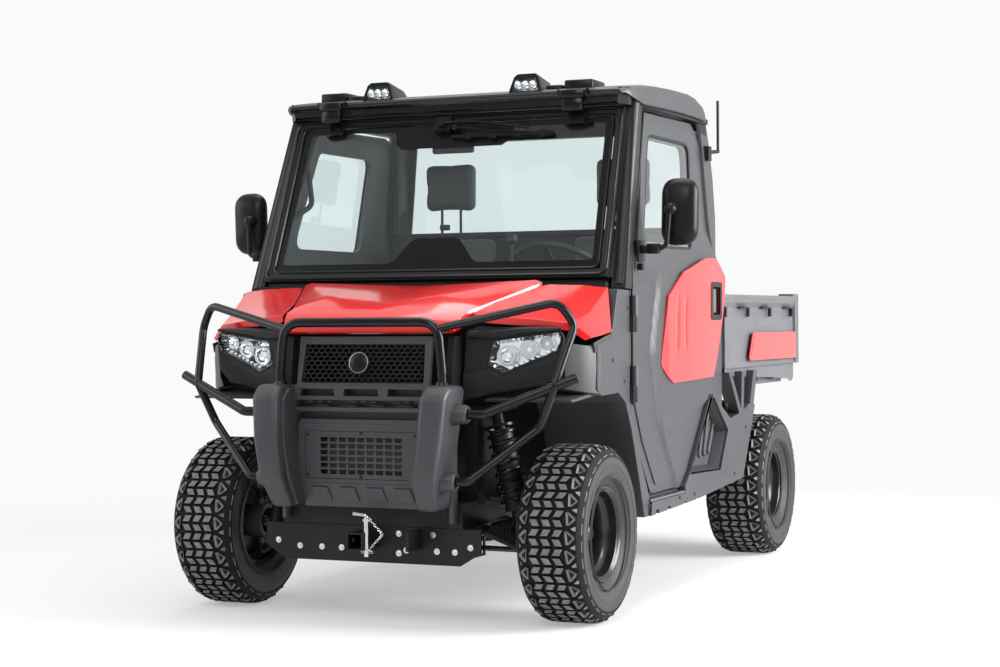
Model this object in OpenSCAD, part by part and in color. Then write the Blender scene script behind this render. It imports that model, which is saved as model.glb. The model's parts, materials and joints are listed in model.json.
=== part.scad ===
// Side by side utility vehicle with an enclosed cab and a tipping cargo bed.
// +Z is up, the front faces -Y and the vehicle's left side is +X.
// The origin is on the ground, below the middle of the vehicle.

/* [Overall] */
// Distance between the axles
wheelbase = 2200; // [2160:10:2640]
// Distance between the wheel centres of one axle
track = 1390; // [1350:10:1668]
// Cab width across the doors
cab_width = 1580; // [1540:10:1896]
// Cargo bed outer length
bed_length = 1215; // [1012:1:1458]
// Cargo bed outer width
bed_width = 1550; // [1500:10:1860]
// Cargo bed side height
bed_height = 318; // [265:1:382]

/* [Wheels] */
// Tyre outer diameter
tyre_d = 635; // [600:5:660]
// Front tyre width
front_tyre_w = 250; // [208:2:300]
// Rear tyre width
rear_tyre_w = 270; // [225:1:324]
// Rim bead seat diameter
rim_d = 310; // [290:2:330]
// Rim width between its flanges
rim_w = 190; // [160:2:200]
// Hub spindle radius
spindle_r = 20; // [16:0.5:24]

/* [Panels] */
// Door thickness
door_t = 40; // [33:1:48]
// Glass thickness
glass_t = 5; // [4:0.5:8]
// Cargo bed wall thickness
bed_wall = 40; // [33:1:48]
// Gap around doors and the tailgate
panel_gap = 6; // [5:0.5:8]
// Lean of the cab sides above the doors' waist, in degrees
cab_lean = 4.6; // [0:0.1:5]

/* [Frame] */
// Distance between the frame rails' centres
rail_spacing = 660; // [600:10:700]
// Frame rail width
rail_w = 60; // [50:1:72]
// Frame rail height
rail_h = 90; // [80:1:108]
// Bull bar tube radius
bar_r = 17; // [14:0.5:20]
// Receiver tube inner width
receiver_in = 51; // [50:0.5:64]
// Receiver tube wall
receiver_wall = 6; // [5:0.5:8]
// Hitch pin hole radius
pin_hole_r = 8; // [6.5:0.5:9]

/* [Hidden] */
$fn = 48;

axle_z = tyre_d / 2;
front_y = -1140;
rear_y = front_y + wheelbase;
wheel_x = track / 2;
side_x = cab_width / 2;
running_gap = 0.05;
contact_gap = 0.3;

// Cab
hinge_y = -815;
hinge_x = side_x + 6;
hinge_r = 11;
hinge_pin_r = 5;
waist_z = 1330;
cab_rear_y = 290;
pillar_in = 120;
sill_depth = 80;
floor_t = 30;
screen_low = [side_x - 65, -910, 1235];
screen_high = [side_x - 86, -652, 1887];
screen_rise = screen_high - screen_low;
screen_h = sqrt(screen_rise[1] * screen_rise[1] + screen_rise[2] * screen_rise[2]);
screen_tilt = atan2(screen_rise[2], screen_rise[1]);
screen_frame_w = 30;
screen_frame_t = 26;

// Frame
rail_x = rail_spacing / 2;
rail_z = 345;
rail_front_y = -1400;
kick_y = 330;
rail_rear_z = 560;
floor_z = rail_z + rail_h;
hood_hinge = [0, -955, 1204];
hood_barrels = [-400, 340];
hood_pin_r = 5;

// Cargo bed
bed_front_y = rear_y - 670;
bed_rear_y = bed_front_y + bed_length;
bed_x = bed_width / 2;
bed_z = 860;
bed_floor_t = 30;
bed_top_z = bed_z + bed_height;
bed_post = 40;
tilt_y = bed_rear_y - 175;
tilt_z = 745;
tilt_pin_r = 12;
ear_t = 20;
ear_x = rail_x + rail_w / 2 + 12;
rail_rear_y = tilt_y + 50;
under_rail_h = 88;
engine_front_y = bed_front_y - 60;
engine_length = 570;
tailgate_t = 36;
tailgate_y = bed_rear_y - tailgate_t / 2;
tailgate_hinge_z = bed_z + 14;
tailgate_pin_r = 7;

// Lift cylinder between the frame and the bed
lift_x = 250;
lift_base = [lift_x, tilt_y - 150, 440];
lift_eye = [lift_x, tilt_y - 550, 790];
lift_line = lift_eye - lift_base;
lift_length = norm(lift_line);
lift_tilt = atan2(lift_line[2], lift_line[1]);
lift_rod_r = 14;
lift_barrel_r = 26;
lift_pin_r = 10;
lift_eye_play = 20;

// Steering
kingpin_x = wheel_x - 95;
kingpin_r = 10;
kingpin_reach = 105;
steer_arm = 84;
rack_y = front_y + steer_arm;
rack_z = axle_z - 82;
rack_r = 12;
hub_face = 26;
wheel_hub_r = 46;
steering_centre = [350, -450, 1262];
steering_lean = 35;
steering_r = 185;
column_r = 16;
function steering_point(down) =
    steering_centre - down * [0, sin(steering_lean), cos(steering_lean)];

module yz(x0, x1) {
    translate([x0, 0, 0]) rotate([90, 0, 90]) linear_extrude(x1 - x0) children();
}
module xz(y0, y1) {
    translate([0, y1, 0]) rotate([90, 0, 0]) linear_extrude(y1 - y0) children();
}
module xy(z0, z1) {
    translate([0, 0, z0]) linear_extrude(z1 - z0) children();
}
module block(x, y, z) {
    translate([x[0], y[0], z[0]]) cube([x[1] - x[0], y[1] - y[0], z[1] - z[0]]);
}
module both_sides() {
    children();
    mirror([1, 0, 0]) children();
}
// Round bar from point a to point b
module rod(a, b, r) {
    d = b - a;
    translate(a)
        rotate([0, acos(d[2] / norm(d)), atan2(d[1], d[0])])
            cylinder(r = r, h = norm(d));
}
module x_rod(x0, x1, y, z, r) {
    translate([x0, y, z]) rotate([0, 90, 0]) cylinder(r = r, h = x1 - x0);
}
module y_rod(y0, y1, x, z, r) {
    translate([x, y1, z]) rotate([90, 0, 0]) cylinder(r = r, h = y1 - y0);
}
// Plate or pad with rounded edges through a set of points
module soft_hull(points, r) {
    hull() for (p = points) translate(p) sphere(r = r, $fn = 10);
}
// 2D outline with rounded corners
module rounded(r) {
    offset(r = r, $fn = 24) offset(delta = -r) children();
}

// Bent tubes: the corners of a path become short curves
function unit(v) = v / norm(v);
function corner_point(a, p, b, u) = (1 - u) * (1 - u) * a + 2 * u * (1 - u) * p + u * u * b;
function corner_start(p, i, t) = p[i] + unit(p[i - 1] - p[i]) * t;
function corner_end(p, i, t) = p[i] + unit(p[i + 1] - p[i]) * t;
function bent_path(p, t, n) = concat([p[0]],
    [for (i = [1 : len(p) - 2]) for (k = [0 : n])
        corner_point(corner_start(p, i, t), p[i], corner_end(p, i, t), k / n)],
    [p[len(p) - 1]]);
function path_way(p, i) =
    unit(p[min(i + 1, len(p) - 1)] - p[i] == [0, 0, 0] ? p[i] - p[i - 1]
        : i == 0 ? p[1] - p[0] : unit(p[i + 1] - p[i]) + unit(p[i] - p[i - 1]));
function ring_side(way, level) = unit(cross(way, level));
module bent_tube(corners, r, t, level = [0, 1, 0], n = 4, sides = 12) {
    path = bent_path(corners, t, n);
    last = len(path) - 1;
    points = [for (i = [0 : last]) for (k = [0 : sides - 1])
        let (way = path_way(path, i), side = ring_side(way, level), over = cross(side, way))
            path[i] + r * (cos(360 * k / sides) * side + sin(360 * k / sides) * over)];
    walls = [for (i = [0 : last - 1]) for (k = [0 : sides - 1])
        [i * sides + k, i * sides + (k + 1) % sides,
            (i + 1) * sides + (k + 1) % sides, (i + 1) * sides + k]];
    caps = [[for (k = [sides - 1 : -1 : 0]) k], [for (k = [0 : sides - 1]) last * sides + k]];
    polyhedron(points = points, faces = concat(walls, caps), convexity = 8);
}

// Leans a door's window part inwards about the waist line
module lean() {
    translate([side_x, 0, waist_z]) rotate([0, -cab_lean, 0]) translate([-side_x, 0, -waist_z])
        children();
}

module rail_outline() {
    polygon([[rail_front_y, rail_z], [kick_y, rail_z], [kick_y + 190, rail_rear_z],
        [rail_rear_y, rail_rear_z], [rail_rear_y, rail_rear_z + rail_h],
        [kick_y + 150, rail_rear_z + rail_h], [kick_y - 40, rail_z + rail_h],
        [rail_front_y, rail_z + rail_h]]);
}
rail_in = rail_x - rail_w / 2;
module cross_member(y, z, h) {
    block([-rail_in + contact_gap, rail_in - contact_gap], [y - 25, y + 25], [z, z + h]);
}
module main_frame() {
    color("#26282a") both_sides() union() {
        yz(rail_in, rail_in + rail_w) rail_outline();
        // Tower that carries the front damper
        yz(rail_x - 20, rail_x + 20) polygon([[front_y - 130, rail_z + rail_h - 5],
            [front_y + 60, rail_z + rail_h - 5], [front_y + 40, 770], [front_y - 110, 770]]);
        block([rail_x - 20, rail_x + 110], [front_y - 120, front_y + 50], [758, 770]);
        // Bracket and pin of the bed pivot
        yz(rail_in, rail_in + rail_w) polygon([[tilt_y - 60, rail_rear_z + rail_h - 5],
            [tilt_y + 50, rail_rear_z + rail_h - 5],
            [tilt_y + 25, tilt_z + 28], [tilt_y - 25, tilt_z + 28]]);
        x_rod(rail_x, ear_x + ear_t + 10, tilt_y, tilt_z, tilt_pin_r);
    }
}
rack_housing_y = rack_y + 20;
rack_hanger_z = rail_z + 30;
module cross_members() {
    color("#26282a") {
        cross_member(rail_front_y + 25, rail_z, rail_h);
        for (y = [-860, -300, 250]) cross_member(y, rail_z + 10, 70);
        cross_member(engine_front_y + engine_length + 55, rail_rear_z + 15, 60);
        cross_member(rail_rear_y - 25, rail_rear_z + 10, 70);
        // Housings of the steering rack, below their cross member
        cross_member(rack_housing_y, rack_hanger_z, 45);
        both_sides() difference() {
            block([140, 180], [rack_housing_y - 24, rack_housing_y + 24],
                [rack_z - 22, rack_hanger_z - contact_gap]);
            x_rod(139, 181, rack_housing_y, rack_z, rack_r + running_gap);
        }
        // Outriggers below the cab floor
        for (y = [-560, -60, 210])
            both_sides() block([rail_in + rail_w + contact_gap, side_x - sill_depth],
                [y - 20, y + 20], [rail_z + 20, rail_z + 80]);
    }
}
// Foot of the lift cylinder, with its pin
module lift_foot() {
    color("#26282a") union() {
        block([lift_x - 60, rail_in - contact_gap], [lift_base[1] - 30, lift_base[1] + 30],
            [lift_base[2] - 75, lift_base[2] - 45]);
        for (x = [lift_x - 60, lift_x + 38])
            block([x, x + 22 - contact_gap], [lift_base[1] - 30, lift_base[1] + 30],
                [lift_base[2] - 60, lift_base[2] + 25]);
        x_rod(lift_x - 60, lift_x + 60 - contact_gap, lift_base[1], lift_base[2], lift_pin_r);
        block([rail_in - 12, rail_in - contact_gap], [lift_base[1] - 30, lift_base[1] + 30],
            [lift_base[2] - 75, rail_rear_z + 40]);
    }
}

skid_y = -1400;
skid_rear_y = -1066;
skid_z = 213;
module skid_plate() {
    color("#1d1e20") {
        union() {
            // Lower apron across the front, with its swept ends
            xz(skid_y, skid_y + 8)
                polygon([[-430, 262], [-350, skid_z], [350, skid_z], [430, 262],
                    [430, rail_z], [-430, rail_z]]);
            block([-300, 300], [skid_y + 4, skid_rear_y], [skid_z, skid_z + 6]);
            both_sides() {
                block([294, 300], [skid_y + 4, skid_y + 180], [skid_z, rail_z]);
                block([294, 300], [skid_rear_y - 15, skid_rear_y], [skid_z, rail_z + 35]);
            }
        }
    }
}

receiver_half = receiver_in / 2;
receiver_out = receiver_half + receiver_wall;
front_receiver_y = -1530;
receiver_len = 140;
receiver_z = 300;
hitch_z = 400;
hitch_y = rail_rear_y - 20;
hitch_end_y = bed_rear_y - 75;
tow_plate_t = 12;
tow_eye_y = -1480;
tow_hole_r = 9.5;
module receiver_tube(y0, y1, z, pin_y) {
    difference() {
        block([-receiver_out, receiver_out], [y0, y1], [z - receiver_out, z + receiver_out]);
        block([-receiver_half, receiver_half], [y0 - 1, y1 + 1],
            [z - receiver_half, z + receiver_half]);
        x_rod(-receiver_out - 1, receiver_out + 1, pin_y, z, pin_hole_r);
    }
}
module receivers() {
    color("#1b1c1e") {
        receiver_tube(front_receiver_y, skid_y, receiver_z, front_receiver_y + 40);
        // Tow eye beside the front receiver
        difference() {
            block([190, 202], [tow_eye_y - 30, skid_y], [270, 340]);
            x_rod(189, 203, tow_eye_y, 300, tow_hole_r);
        }
        // Rear receiver, its hanger and the drawbar plate
        union() {
            receiver_tube(hitch_y - 120, hitch_end_y, hitch_z, hitch_end_y - 40);
            both_sides() block([receiver_out - 2, receiver_out + 10], [hitch_y - 100, hitch_y - 10],
                [hitch_z - receiver_out, rail_rear_z + 10]);
            difference() {
                block([-45, 45], [hitch_end_y - 60, hitch_end_y + 55],
                    [hitch_z - receiver_out - tow_plate_t, hitch_z - receiver_out + 1]);
                translate([0, hitch_end_y + 30, 0]) cylinder(r = tow_hole_r, h = 600);
            }
        }
    }
}

lower_ball = [kingpin_x, front_y, axle_z - kingpin_reach];
upper_ball = [kingpin_x, front_y, axle_z + kingpin_reach];
arm_r = 12;
ball_housing_r = 24;
ball_housing_h = 26;
arm_foot_r = 20;
arm_foot_x = rail_x + rail_w / 2 + arm_foot_r;
module suspension_arm(ball, foot_x, foot_z, spread) {
    difference() {
        union() {
            for (s = [-1, 1]) {
                rod([foot_x, front_y + s * spread, foot_z],
                    [ball[0] - 12, front_y + s * 10, ball[2]], arm_r);
                y_rod(front_y + s * spread - 26, front_y + s * spread + 26, foot_x, foot_z, arm_foot_r);
            }
            translate([ball[0], front_y, ball[2] - ball_housing_h / 2])
                cylinder(r = ball_housing_r, h = ball_housing_h);
        }
        translate([ball[0], front_y, ball[2] - 40]) cylinder(r = kingpin_r + running_gap, h = 80);
    }
}
module coil_over(low, high, r) {
    d = high - low;
    rod(low, low + d * 0.45, r * 0.55);
    rod(low + d * 0.3, high, r * 0.3);
    rod(low + d * 0.28, low + d * 0.86, r);
    rod(low + d * 0.84, high, r * 0.5);
}
module front_suspension() {
    color("#222426") {
        both_sides() {
            union() {
                suspension_arm(lower_ball, arm_foot_x, 330, 150);
                coil_over([520, front_y - 70, 262], [rail_x + 75, front_y - 60, 752], 42);
            }
            suspension_arm(upper_ball, arm_foot_x, 440, 110);
        }
    }
}

axle_tube_r = 38;
spring_x = rail_x + 55;
spring_w = 50;
leaf_t = 9;
spring_reach = 360;
module leaf_spring() {
    for (i = [0 : 2])
        yz(spring_x - spring_w / 2, spring_x + spring_w / 2)
            polygon([[rear_y - spring_reach + 110 * i, 470 - 30 * i - leaf_t * i],
                [rear_y, 400 - leaf_t * i], [rear_y + spring_reach - 110 * i, 470 - 30 * i - leaf_t * i],
                [rear_y + spring_reach - 110 * i, 471 - 30 * i + leaf_t - leaf_t * i],
                [rear_y, 401 + leaf_t - leaf_t * i],
                [rear_y - spring_reach + 110 * i, 471 - 30 * i + leaf_t - leaf_t * i]]);
}
module spindle(side) {
    x0 = wheel_x - hub_face;
    translate([0, rear_y, axle_z]) rotate([0, 90 * side, 0]) {
        translate([0, 0, x0 - 60]) cylinder(r = 62, h = 59.5);
        translate([0, 0, x0 - 20]) cylinder(r = spindle_r, h = 90);
    }
}
module rear_suspension() {
    color("#222426") {
        union() {
            x_rod(-wheel_x + 80, wheel_x - 80, rear_y, axle_z, axle_tube_r);
            for (s = [-1, 1]) spindle(s);
            // Transaxle case at the middle of the axle
            hull() {
                translate([0, rear_y, axle_z]) sphere(r = 118, $fn = 24);
                block([-90, 90], [rear_y - 160, rear_y - 120], [axle_z - 60, axle_z + 110]);
            }
            both_sides() {
                leaf_spring();
                block([spring_x - 35, spring_x + 35], [rear_y - 50, rear_y + 50],
                    [axle_z - 45, axle_z + 95]);
                // Spring hangers on the frame rail
                for (s = [-1, 1])
                    block([spring_x - 32, spring_x + 32],
                        [rear_y + s * spring_reach - 22, rear_y + s * spring_reach + 22],
                        [455, rail_rear_z]);
                block([rail_x - 10, spring_x + 32], [rear_y - spring_reach - 22, rear_y - spring_reach + 22],
                    [rail_rear_z - 14, rail_rear_z]);
                block([rail_x - 10, spring_x + 32], [rear_y + spring_reach - 22, rear_y + spring_reach + 22],
                    [rail_rear_z - 14, rail_rear_z]);
                rod([spring_x + 60, rear_y + 70, axle_z + 20], [spring_x + 45, rear_y + 180, 690], 24);
                block([spring_x - 30, spring_x + 90], [rear_y + 30, rear_y + 90], [axle_z - 15, axle_z + 30]);
                block([rail_x + rail_w / 2, spring_x + 60], [rear_y + 160, rear_y + 205], [rail_rear_z + 40, rail_rear_z + 80]);
            }
        }
    }
}

module front_driveline() {
    color("#303234") {
        union() {
            // Differential case and its nose
            x_rod(-80, 80, front_y, axle_z, 92);
            x_rod(-145, 145, front_y, axle_z, 46);
            y_rod(front_y + 40, front_y + 75, 0, axle_z + 10, 48);
            both_sides() {
                x_rod(140, 210, front_y, axle_z, 34);
                x_rod(200, kingpin_x - 60, front_y, axle_z, 14);
                x_rod(kingpin_x - 110, kingpin_x - 62, front_y, axle_z, 32);
                x_rod(kingpin_x - 70, kingpin_x, front_y, axle_z, 12);
                x_rod(kingpin_x - 12, kingpin_x + 8, front_y, axle_z, 20);
            }
            // Propeller shaft to the gearbox, and the mounts of the differential
            y_rod(front_y + 70, bed_front_y - 50, 0, axle_z + 10, 22);
            both_sides() block([80, rail_x - rail_w / 2], [front_y - 30, front_y + 30],
                [axle_z + 30, rail_z + 60]);
        }
    }
}

module engine() {
    color("#3a3c3e") {
        union() {
            block([-190, 190], [engine_front_y, engine_front_y + engine_length], [rail_z + 60, 770]);
            both_sides() block([185, rail_x - rail_w / 2], [engine_front_y + 300, engine_front_y + 360],
                [rail_rear_z + 20, rail_rear_z + 50]);
        }
    }
}

pad_face_y = -1605;
pad_outer_x = 382;
pad_inner_x = 283;
pad_top_z = 853;
pad_mid_z = 510;
pad_low_z = 415;
pad_back_y = -1430;
boss_r = 34;
upper_boss = [pad_outer_x + 38, -1478, 752];
lower_boss = [pad_outer_x + 8, -1515, 520];
function pad_outline(low_y) = [
    [-1548, pad_top_z], [pad_face_y + 14, pad_top_z - 40], [pad_face_y, pad_mid_z + 150],
    [pad_face_y, pad_mid_z + 10], [pad_face_y + 60, pad_low_z], [low_y, pad_low_z],
    [low_y, pad_top_z - 20], [low_y - 15, pad_top_z]];
module front_bumper() {
    color("#34363a") {
        both_sides() {
            intersection() {
                yz(pad_inner_x - 40, pad_outer_x + 10) polygon(pad_outline(pad_back_y));
                xz(-1700, -1300) polygon([[pad_inner_x, pad_top_z + 5], [pad_outer_x, pad_top_z + 5],
                    [pad_outer_x - 6, pad_top_z - 150], [pad_outer_x - 37, pad_mid_z],
                    [pad_outer_x - 56, pad_low_z - 5], [pad_inner_x - 38, pad_low_z - 5],
                    [pad_inner_x - 30, pad_mid_z], [pad_inner_x - 4, pad_top_z - 150]]);
            }
            // Bosses that hold the side tubes
            for (b = [upper_boss, lower_boss]) x_rod(b[0] - 58, b[0], b[1], b[2], boss_r);
            // Side plate behind the pad, down to the frame
            block([rail_x - 5, rail_x + 12], [-1440, rail_front_y], [rail_z + 20, 780]);
        }
    }
}

grille_y = -1480;
bar_half = pad_inner_x - 3;
plate_half = pad_inner_x - 31;
module front_grille() {
    color("#2c2e31") {
        union() {
            // Lower plate with the louvre field cut through
            difference() {
                block([-plate_half, plate_half], [grille_y, grille_y + 14], [500, 712]);
                block([-180, 180], [grille_y - 1, grille_y + 8], [528, 662]);
            }
            // Valance below it
            yz(-plate_half + 8, plate_half - 8) polygon([[grille_y, 500], [grille_y + 30, 412],
                [grille_y + 50, 412], [grille_y + 14, 510]]);
            // Crossbars of the middle opening
            block([-bar_half, bar_half], [grille_y + 10, grille_y + 34], [752, 776]);
            difference() {
                block([-bar_half - 1.2, bar_half + 1.2], [grille_y + 4, grille_y + 30], [796, 850]);
                for (x = [-165, 0, 165])
                    block([x - 70, x + 70], [grille_y, grille_y + 40], [812, 836]);
            }
            // Mesh panel in its frame, leaning back
            translate([0, grille_y + 10, 848]) rotate([-11, 0, 0]) difference() {
                block([-262, 262], [0, 26], [0, 178]);
                block([-240, 240], [-1, 12], [12, 152]);
            }
            // Dark wall behind the openings
            block([-pad_inner_x - 10, pad_inner_x + 10], [pad_back_y, pad_back_y + 10], [420, 850]);
        }
    }
}

hoop_top_z = 1073;
hoop_x = 322;
hoop_y = -1480;
module bull_bar() {
    color("#1a1b1d") {
        union() {
            bent_tube([[-hoop_x, hoop_y, pad_top_z + contact_gap], [-hoop_x, hoop_y, 900],
                [-hoop_x + 16, hoop_y, hoop_top_z], [hoop_x - 16, hoop_y, hoop_top_z],
                [hoop_x, hoop_y, 900], [hoop_x, hoop_y, pad_top_z + contact_gap]], bar_r, 42);
            both_sides() {
                // Loop around the lamp, from the hoop down to the lower boss
                bent_tube([[hoop_x - 24, hoop_y, 1048], [700, -1335, 1140], [752, -1308, 1060],
                    [714, -1410, 850], [650, -1390, 705], lower_boss + [40, 0, 0],
                    lower_boss + [contact_gap, 0, 0]], bar_r - 2, 34);
                // Brush tube from the upper boss past the loop
                bent_tube([upper_boss + [contact_gap, 0, 0], upper_boss + [56, 0, 0], [side_x, -1380, 880]],
                    bar_r, 30);
            }
        }
    }
}

lamp_outline = [[446, 1004], [690, 1036], [702, 1012], [682, 968], [482, 889], [428, 920]];
fascia_turn = 10;
module fascia_plane() {
    translate([446, -1318, 0]) rotate([0, 0, fascia_turn]) translate([-446, 0, 0]) children();
}
module front_fascia() {
    color("#2b2d30") {
        both_sides() {
            fascia_plane() difference() {
                xz(-20, 14) polygon([[352, 1036], [392, 1062], [640, 1044], [697, 1030],
                    [695, 905], [640, 850], [424, 814], [337, 794]]);
                xz(-30, 30) offset(delta = contact_gap) polygon(lamp_outline);
            }
            // Corner from the side round to the lamp
            soft_hull([[side_x - 27, -1189.6, 970], [side_x - 27, -1189.6, 862],
                [718, -1262, 985], [714, -1264, 872]], 14);
            // Cheek from the grille to the lamp
            yz(308, 337.1) polygon([[pad_back_y, 782], [-1330, 782], [-1330, 1022],
                [-1402, 1022], [pad_back_y, 852]]);
        }
    }
}

tail_lamp_z = 620;
module lamps() {
    color("#d8dadc") {
        both_sides() {
            fascia_plane() xz(-14, 60) polygon(lamp_outline);
            block([rail_x + 80, rail_x + 230], [rail_rear_y - 60, rail_rear_y - 20],
                [tail_lamp_z, tail_lamp_z + 60]);
            block([rail_x + rail_w / 2, rail_x + 90], [rail_rear_y - 50, rail_rear_y - 40],
                [tail_lamp_z + 10, tail_lamp_z + 30]);
        }
    }
}

arch_outline = [[front_y, 806], [-961, 810], [-886, 774], [-823, 671], [-743, 484], [-683, 331]];
fender_t = 35;
module front_fenders() {
    color("#4a4c50") {
        both_sides() union() {
            yz(side_x - 5 - fender_t, side_x - 5)
                polygon(concat([[-640, 331], [-624, 400], [-742, 583], [-838, 757], [-838, 1185],
                    [-962, 1188], [-1030, 1016], [-1060, 1010], [-1176, 988], [-1176, 830]],
                    arch_outline));
            // Wheel-arch liner
            difference() {
                yz(430, side_x - 30) polygon(concat([[-1370, 800], [front_y, 820]],
                    [for (i = [1 : 5]) arch_outline[i] + [8, 12]], [[-683 + 12, 331]]));
                yz(400, side_x) polygon(concat([[-1371, 340], [-1371, 790]], arch_outline,
                    [[-683, 300], [-900, 300]]));
            }
        }
    }
}

module hood_corners() {
    color("#d8140f") {
        both_sides() {
            union() {
                soft_hull([[388, -1352, 1092], [515, -975, 1200], [side_x - 50, -985, 1192],
                    [705, -1235, 1058]], 11);
                soft_hull([[side_x - 50, -985, 1192], [side_x - 18, -1050, 1036],
                    [side_x - 24, -1200, 1010], [705, -1235, 1058]], 11);
                // Bracket down behind the fender's top edge
                block([side_x - 56, side_x - 40 - contact_gap], [-1120, -1080], [960, 1034]);
                block([side_x - 56, side_x - 25], [-1120, -1080], [1020, 1034]);
            }
        }
    }
}

function hood_points(in) = [
    [-345 + in, -1432 + in, 1040], [345 - in, -1432 + in, 1040],
    [-362 + in, -1362 + in, 1106 - in], [362 - in, -1362 + in, 1106 - in],
    [-231 + in, -1290, 1166 - in * 1.8], [231 - in, -1290, 1166 - in * 1.8],
    [-490 + in, -975 - in, 1222 - in * 1.8], [490 - in, -975 - in, 1222 - in * 1.8],
    [-340 + in, -1400, 1030 - in], [340 - in, -1400, 1030 - in],
    [-480 + in, -975 - in, 1196 - in * 2], [480 - in, -975 - in, 1196 - in * 2]];
hood_t = 12;
module hood() {
    color("#e01410") {
        union() {
            difference() {
                hull() for (p = hood_points(0)) translate(p) cube(0.5, center = true);
                hull() for (p = hood_points(hood_t)) translate(p - [0, 0, 4]) cube(0.5, center = true);
                translate([0, 0, -60]) hull() for (p = hood_points(hood_t)) translate(p) cube(0.5, center = true);
            }
            // Hinge barrels at the rear edge
            for (x = hood_barrels) {
                difference() {
                    union() {
                        x_rod(x, x + 60, hood_hinge[1], hood_hinge[2], 9);
                        block([x, x + 60], [-982, hood_hinge[1]], [hood_hinge[2] - 8, hood_hinge[2]]);
                    }
                    x_rod(x - 1, x + 61, hood_hinge[1], hood_hinge[2], hood_pin_r + running_gap);
                }
            }
        }
    }
}

a_pillar_low = [side_x - 28, -862, 1192];
a_pillar_high = [side_x - 50 - 24, -590, 1895];
module cab_frame() {
    color("#232527") {
        union() {
            both_sides() {
                // Windscreen pillar
                hull() {
                    translate(a_pillar_low) cube([56, 66, 4], center = true);
                    translate(a_pillar_high) cube([44, 86, 4], center = true);
                }
                // Hinge post in front of the door, and its pins
                block([side_x - 62, side_x - 42], [-838, -806], [726, 1190]);
                for (z = [770, 1030]) {
                    difference() {
                        translate([hinge_x, hinge_y, z]) cylinder(r = hinge_r, h = 60);
                        translate([hinge_x, hinge_y, z - 1]) cylinder(r = 2, h = 2);
                    }
                    translate([hinge_x, hinge_y, z + 50]) cylinder(r = hinge_pin_r, h = 85);
                    block([side_x - 50, hinge_x], [-838, -826], [z, z + 60]);
                    block([hinge_x - 6, hinge_x + 4], [-838, hinge_y], [z, z + 60]);
                }
                // Roof rail and rear pillar
                block([side_x - 105, side_x - 54], [-615, cab_rear_y], [1893, 1915]);
                block([side_x - pillar_in, side_x - 62], [cab_rear_y - 70, cab_rear_y],
                    [floor_z + floor_t, 1915]);
            }
            block([-side_x + 70, side_x - 70], [-655, -600], [1890, 1915]);
            block([-side_x + 70, side_x - 70], [cab_rear_y - 60, cab_rear_y], [1860, 1915]);
            // Windscreen surround
            translate([0, screen_low[1], screen_low[2]]) rotate([screen_tilt, 0, 0])
                translate([0, 0, -screen_frame_t]) linear_extrude(screen_frame_t) difference() {
                    polygon([[-screen_low[0], 0], [screen_low[0], 0],
                        [screen_high[0], screen_h], [-screen_high[0], screen_h]]);
                    offset(delta = -screen_frame_w) polygon([[-screen_low[0], 0], [screen_low[0], 0],
                        [screen_high[0], screen_h], [-screen_high[0], screen_h]]);
                }
        }
    }
}

module cab_tub() {
    color("#2f3134") {
        union() {
            block([-side_x + 55, side_x - 55], [-670, cab_rear_y], [floor_z, floor_z + floor_t]);
            // Toe board and bulkhead below the windscreen
            yz(-side_x + 62, side_x - 62) polygon([[-680, floor_z], [-650, floor_z], [-770, 690],
                [-850, 850], [-905, 1180], [-905, 1213], [-940, 1213], [-940, 1165], [-925, 1165],
                [-872, 850], [-795, 690]]);
            // Hood hinge lugs and pins
            for (x = hood_barrels) {
                for (a = [x - 12, x + 62])
                    block([a, a + 10], [hood_hinge[1] - 8, -938], [hood_hinge[2] - 8, hood_hinge[2] + 8]);
                x_rod(x - 10, x + 70, hood_hinge[1], hood_hinge[2], hood_pin_r);
            }
            // Rear wall below the window, and the seat box
            block([-side_x + pillar_in, side_x - pillar_in], [cab_rear_y - 30, cab_rear_y],
                [floor_z, 1440]);
            block([-side_x + pillar_in, side_x - pillar_in], [-160, cab_rear_y], [floor_z, 860]);
        }
    }
}

module dashboard() {
    color("#3a3c40") {
        union() {
            yz(-side_x + 75, side_x - 75) polygon([[-885 + contact_gap, 1060], [-700, 1010],
                [-660, 1060], [-650, 1180], [-720, 1245], [-880, 1232], [-880, 1213 + contact_gap],
                [-905 + contact_gap, 1213 + contact_gap], [-905 + contact_gap, 1180]]);
            // Column, its shroud and the stalk
            rod(steering_point(150), steering_point(30), column_r);
            rod([steering_centre[0], -700, 1100], steering_point(80), 44);
            // Range lever with its knob
            rod([steering_centre[0] - 110, -660, 1150], [steering_centre[0] - 130, -610, 1390], 6);
            translate([steering_centre[0] - 130, -610, 1390]) sphere(r = 22);
        }
    }
}

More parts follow.
